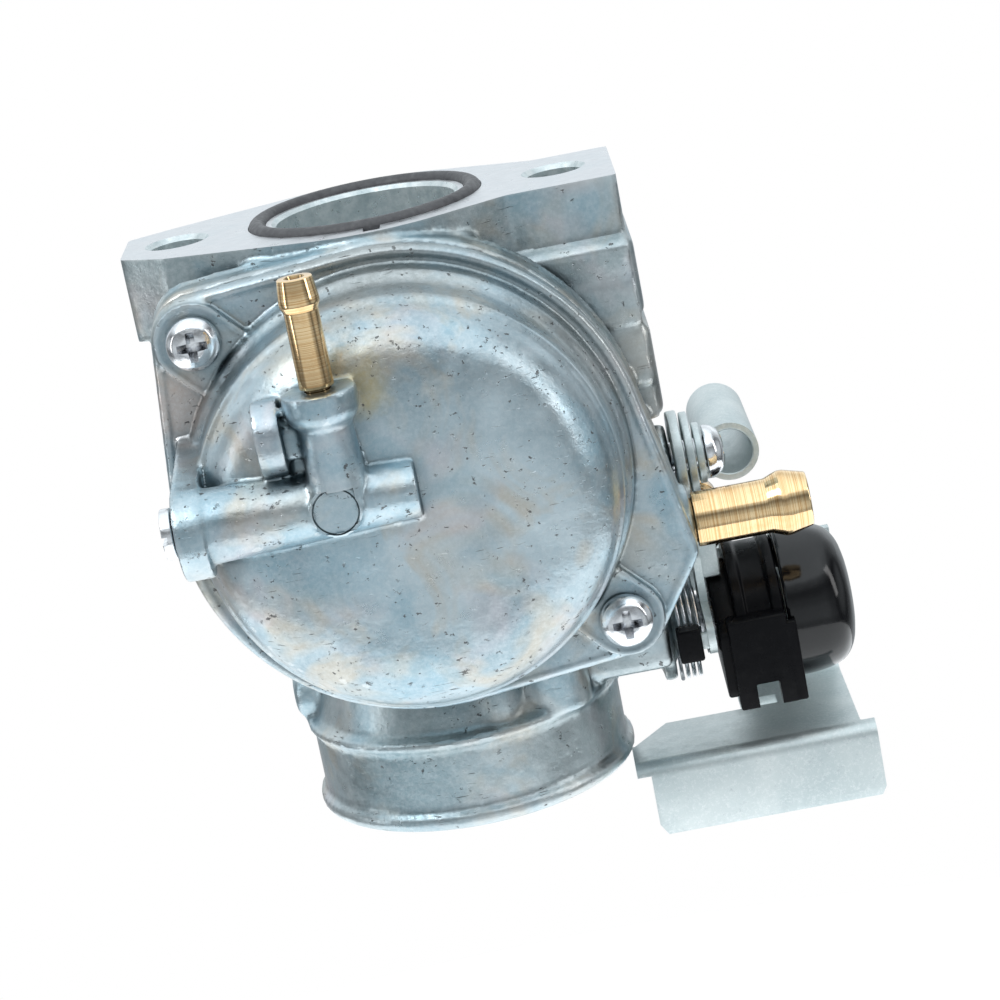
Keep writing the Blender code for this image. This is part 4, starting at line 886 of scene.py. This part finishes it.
def build_throttle():
    """Shaft, plate, lever, sleeve and return spring."""
    profile = rounded([(0, 46.4), (3.0, 46.4), (3.0, -18.5), (0, -18.5)], 0.4, 3)
    shaft = made_of(revolve("throttle_shaft_look", profile, (0, 0, SHAFT_Z), X_AXIS, 64), GROUND)
    carve(shaft, [
        box("plate_slot", (-12.7, -4, SHAFT_Z - 0.9), (12.7, 4, SHAFT_Z + 0.9), 0),
        *[drill("plate_hole", (x, 0, SHAFT_Z - 4), (x, 0, SHAFT_Z + 4), 1.3, 0.01) for x in PLATE_SCREWS],
    ])
    finished(shaft, ["throttle_shaft"], body="throttle")
    holes = [circle((x, 0), 1.3, 24) for x in PLATE_SCREWS]
    rim = circle((0, 0), 12.25, 120)
    disc = plate("throttle_plate_look", rim, SHAFT_Z - 0.6, SHAFT_Z + 0.6, "Z", holes, 0.12)
    finished(made_of(disc, BRASS_Y), ["throttle_plate"], body="throttle")

    outline = hull([(0, SHAFT_Z, 4.8), (-3.9, SHAFT_Z + 9.8, 2.0)])
    lever = made_of(plate("throttle_lever_look", outline, 32.3, 33.3, "X"), ZINC)
    carve(lever, [
        plate("spring_arm", hull([(0, SHAFT_Z, 4.6), (-8.4, SHAFT_Z + 0.4, 2.6)]), 32.32, 33.28, "X"),
        box("stop_ear", (32.4, -4.6, SHAFT_Z + 6.5), (35.6, -3.5, SHAFT_Z + 12.2), 0.25),
        box("spring_tab", (28.9, -10.3, SHAFT_Z - 1.0), (33.0, -9.5, SHAFT_Z + 1.2), 0.2),
    ], operation="UNION")
    carve(lever, [plate("lever_hole", SHAFT_HOLE, 31.0, 34.0, "X")])
    finished(lever, ["throttle_lever"], body="throttle")

    sleeve = box("spring_sleeve_look", (28.4, -11.5, SHAFT_Z - 2.1), (31.5, -8.75, SHAFT_Z + 2.2), 0.35)
    carve(made_of(sleeve, BLACK), [box("slot", (28.7, -10.6, SHAFT_Z - 1.3), (33.0, -9.2, SHAFT_Z + 1.5), 0)])
    finished(sleeve, ["spring_sleeve"], body="throttle")

    coil_r, pitch, per_turn, steps = 7.3, 0.8, 56, 208
    coil = []
    for i in range(steps + 1):
        a = radians(250 + 360 * i / per_turn)
        coil.append(Vector((28.45 + pitch * i / per_turn, coil_r * cos(a), SHAFT_Z + coil_r * sin(a))))
    start_leg = coil[0] + (coil[0] - coil[1]).normalized() * 4.0
    end_leg = coil[-1] + (coil[-1] - coil[-2]).normalized() * 3.0
    spring = tube("return_spring_look", [start_leg, *coil, end_leg], 0.27)
    finished(made_of(spring, SPRING), ["return_spring"])


def build_drum():
    """The cable drum, its glossy cap and the nut under it."""
    profile = rounded([(3.3, 42.5), (9.4, 42.5), (9.4, 41.2), (8.9, 40.9), (8.9, 37.9), (9.4, 37.6),
                       (9.4, 36.3), (3.3, 36.3), (3.3, 42.5)], 0.35, 3)
    drum = made_of(revolve("throttle_drum_look", profile[:-1], (0, 0, SHAFT_Z), X_AXIS), BLACK)
    tail = [(0, SHAFT_Z, 7.2), (-8.9, SHAFT_Z - 0.4, 1.6), (-8.6, SHAFT_Z - 7.0, 1.6)]
    carve(drum, [
        plate("hub_flange", hull(tail), 33.7, 36.6, "X", edge=0.35),
        box("tongue", (34.9, -11.6, -71.2), (42.45, -8.2, SHAFT_Z + 2.2), 0.3),
        box("tongue_edge", (41.0, -11.58, -71.18), (43.6, -10.2, SHAFT_Z + 1.0), 0.3),
    ], operation="UNION")
    carve(drum, [
        box("cable_slot", (37.3, -13.0, -72.0), (40.3, -6.5, -68.0), 0.15),
        drill("cable_seat", (36.0, -9.8, -67.4), (41.4, -9.8, -67.4), 1.5, 0.1),
        drill("drum_bore", (33, 0, SHAFT_Z), (43, 0, SHAFT_Z), SHAFT_HOLE_R, 0.01),
    ])
    finished(drum, ["throttle_drum"], 30, "throttle")
    cap = rounded([(0, 51.9), (4.0, 51.8), (6.8, 51.2), (8.6, 50.0), (9.5, 48.0), (9.85, 45.4), (9.85, 42.8),
                   (8.6, 42.8), (8.6, 46.8), (7.0, 48.4), (0, 48.9)], 1.2)
    finished(made_of(revolve("drum_cap_look", cap, (0, 0, SHAFT_Z), X_AXIS, 128), GLOSS),
             ["drum_cap"], 50, "throttle")
    flats = [(y, z + SHAFT_Z) for y, z in circle((0, 0), 8.0 / sqrt(3), 6)]
    nut = plate("shaft_nut_look", flats, 42.9, 45.3, "X", [SHAFT_HOLE], 0.12)
    finished(made_of(nut, ZINC), ["shaft_nut"], body="throttle")


# ---------------------------------------------------------------- clip and bracket

def build_clip():
    """The guide clip with its rolled barrel, and its washers."""
    tab = hull([(CLIP_Y, CLIP_Z, 5.9), (0.5, BARREL_Z, 3.7)])
    clip = made_of(plate("guide_clip_look", tab, 32.1, 33.5, "X", edge=0.25), ZINC)
    wall = [(3.8, 0.0), (3.8, 21.8), (2.9, 21.8), (2.9, 0.0), (3.8, 0.0)]
    barrel = revolve("barrel", rounded(wall, 0.3, 3)[:-1], (BARREL_X, -0.3, BARREL_Z), Y_AXIS)
    carve(clip, [
        barrel,
        box("clip_neck", (32.2, 1.5, BARREL_Z - 3.6), (BARREL_X - 1.6, 6.5, BARREL_Z - 2.7), 0.2),
    ], operation="UNION")
    carve(clip, [drill("clip_hole", (31, CLIP_Y, CLIP_Z), (35, CLIP_Y, CLIP_Z), HOLE_R, 0.01)])
    finished(clip, ["guide_clip"])
    washers = (("clip_washer_wide", 33.8, 34.8, 5.5), ("clip_washer_small", 35.1, 36.0, 3.9))
    for node, low, high, radius in washers:
        ring = rounded([(2.3, high), (radius, high), (radius, low), (2.3, low), (2.3, high)], 0.2, 3)
        washer = revolve(f"{node}_look", ring[:-1], (0, CLIP_Y, CLIP_Z), X_AXIS)
        finished(made_of(washer, ZINC), [node])


def build_bracket():
    """The bent cable bracket."""
    front, back = (-7.0, -79.0), (13.2, -75.0)
    outside = [(-9.0, -86.9), *arc(front, 2.0, 180, 90, 10), *arc(back, 2.0, 270, 360, 10), (15.2, -45.6)]
    inside = [(16.7, -45.6), *arc(back, 3.5, 360, 270, 10), *arc(front, 0.5, 90, 180, 6), (-7.5, -86.9)]
    bracket = made_of(plate("cable_bracket_look", outside + inside, 20.2, 51.7, "X"), ZINC)
    left = [(19.0, -1.5), (20.6, -1.5), (25.4, 5.4), (19.0, 5.4)]
    corner_left = [(21.0, -88.0), (23.6, -88.0), (22.0, -85.4), (21.0, -85.4)]
    corner_right = [(53.0, -88.0), (50.4, -88.0), (51.7, -85.8), (53.0, -85.8)]
    carve(bracket, [
        box("lip_left", (19.0, -12.0, -90.0), (22.0, -7.3, -78.6), 0),
        box("shelf_right", (49.9, -7.0, -80.0), (54.0, 18.0, -70.0), 0.3),
        box("leg_opening", (19.0, 5.2, -80.0), (35.6, 18.0, -62.8), 0),
        box("leg_side", (30.6, 8.0, -57.5), (52.0, 18.0, -40.0), 0),
        plate("left_chamfer", left, -90.0, -74.0, "Z"),
        plate("corner_left", corner_left, -12.0, -6.0, "Y"),
        plate("corner_right", corner_right, -12.0, -6.0, "Y"),
        box("cable_slot", (35.0, 5.2, -80.0), (40.4, 8.4, -76.0), 0),
        *[drill("bracket_hole", (BRACKET_X, 14.0, z), (BRACKET_X, 18.0, z), HOLE_R, 0.01)
          for z in BRACKET_SCREWS],
    ])
    soften(bracket, 0.28, 3, 50)
    bake(bracket)
    finished(bracket, ["cable_bracket"], 40)


# ---------------------------------------------------------------- inner pieces

def dress_inner_pieces():
    """Finishes for the CAD pieces inside the bowl, which keep their own meshes."""
    looks = dict.fromkeys(("needle_seat", "main_jet", "main_nozzle", "pilot_jet"), (BRASS_Y, "brass"))
    looks["float"] = (NYLON, "float_plastic")
    looks["float_pin"] = looks["float_needle"] = (STEEL, "bright_steel")
    for node, (material, slot_name) in looks.items():
        obj = frame["nodes"][node]
        obj.data.materials.clear()
        made_of(obj, material)
        weld = obj.modifiers.new("weld", "WELD")
        weld.merge_threshold = 0.000002
        soften(obj, 0.12, 2, 35)


# ---------------------------------------------------------------- studio

def direction_ramp(tree, source, stops):
    """Brightness along one part of the direction, from -1 to 1."""
    shift = tree.nodes.new("ShaderNodeMapRange")
    shift.inputs["From Min"].default_value = -1.0
    tree.links.new(source, shift.inputs["Value"])
    ramp = tree.nodes.new("ShaderNodeValToRGB")
    ramp.color_ramp.interpolation = "EASE"
    while len(ramp.color_ramp.elements) < len(stops):
        ramp.color_ramp.elements.new(0.5)
    for element, (place, value) in zip(ramp.color_ramp.elements, stops):
        element.position = (place + 1) / 2
        element.color = (value * 0.965, value, value * 1.02, 1.0)
    tree.links.new(shift.outputs[0], ramp.inputs[0])
    return ramp.outputs["Color"]


def build_world():
    """White surroundings with darker bands for the metal to reflect."""
    world = bpy.data.worlds.new("studio")
    bpy.context.scene.world = world
    world.use_nodes = True
    tree = world.node_tree
    split = tree.nodes.new("ShaderNodeSeparateXYZ")
    tree.links.new(tree.nodes.new("ShaderNodeTexCoord").outputs["Generated"], split.inputs[0])
    front = direction_ramp(tree, split.outputs["Z"], (
        (-1.0, 0.36), (-0.45, 0.46), (-0.25, 0.74), (-0.02, 0.68), (0.16, 0.46), (0.42, 0.22), (0.58, 0.62),
        (0.70, 1.5), (1.0, 1.4)))
    back = direction_ramp(tree, split.outputs["Z"], (
        (-1.0, 0.5), (-0.3, 0.42), (0.05, 0.80), (0.28, 1.10), (0.62, 0.90), (1.0, 1.3)))
    sides = direction_ramp(tree, split.outputs["X"], (
        (-1.0, 0.8), (-0.93, 0.30), (-0.78, 0.95), (-0.1, 1.0), (0.55, 1.05), (0.78, 0.55), (0.88, 0.22),
        (1.0, 0.8)))
    facing = tree.nodes.new("ShaderNodeMapRange")
    facing.inputs["From Min"].default_value = -0.2
    facing.inputs["From Max"].default_value = 0.3
    tree.links.new(split.outputs["Y"], facing.inputs["Value"])
    studio = blend_colours(tree, "MIX", facing.outputs[0], front, back)
    studio = blend_colours(tree, "MULTIPLY", 1.0, studio, sides)
    seen = tree.nodes.new("ShaderNodeLightPath").outputs["Is Camera Ray"]
    tree.links.new(blend_colours(tree, "MIX", seen, studio, (1.0, 1.0, 1.0)),
                   tree.nodes["Background"].inputs["Color"])


def build_studio():
    """The floor well below the carburetor, and soft lights."""
    build_world()
    shape = bmesh.new()
    bmesh.ops.create_circle(shape, cap_ends=True, segments=96, radius=450.0)
    floor = make("floor", shape)
    floor.location = (0, 0, -0.3)
    white = Finish("pale_floor", (0.9, 0.9, 0.9), 0.9, 0.0)
    made_of(floor, white.done(Emission_Color=(1, 1, 1, 1), Emission_Strength=0.45))

    lights = (
        ("key", (-0.30, -0.26, 0.46), 0.34, 0.20, 0.85),
        ("right", (0.52, -0.20, 0.16), 0.12, 0.42, 0.5),
        ("left", (-0.52, -0.14, 0.04), 0.08, 0.40, 0.3),
    )
    aim = Vector((0.005, -0.01, -0.04))
    for name, spot, wide, tall, power in lights:
        data = bpy.data.lights.new(name, "AREA")
        data.shape = "RECTANGLE"
        data.size = wide
        data.size_y = tall
        data.energy = power
        lamp = placed(name, data)
        lamp.location = spot
        lamp.rotation_euler = (aim - Vector(spot)).to_track_quat("-Z", "Y").to_euler()


def build_camera():
    """The camera at the product view, a little above the bowl's side and rolled."""
    data = bpy.data.cameras.new("product_view")
    data.lens = 114.44
    data.clip_start = 0.01
    camera = placed("product_view", data)
    facing = Matrix(((1, 0, 0), (0, 0, -1), (0, 1, 0)))
    turn = Matrix.Rotation(radians(1.5046), 3, "Z") @ facing
    turn = turn @ Matrix.Rotation(radians(-15.775), 3, "X") @ Matrix.Rotation(radians(-11.179), 3, "Z")
    camera.matrix_world = Matrix.Translation(Vector((19.828, -393.35, 70.238)) * MM) @ turn.to_4x4()
    bpy.context.scene.camera = camera
    bpy.context.scene.view_settings.view_transform = "Standard"


build_casting()
build_bowl()
build_seals()
build_screws()
build_nozzles()
build_throttle()
build_drum()
build_clip()
build_bracket()
dress_inner_pieces()
build_studio()
build_camera()
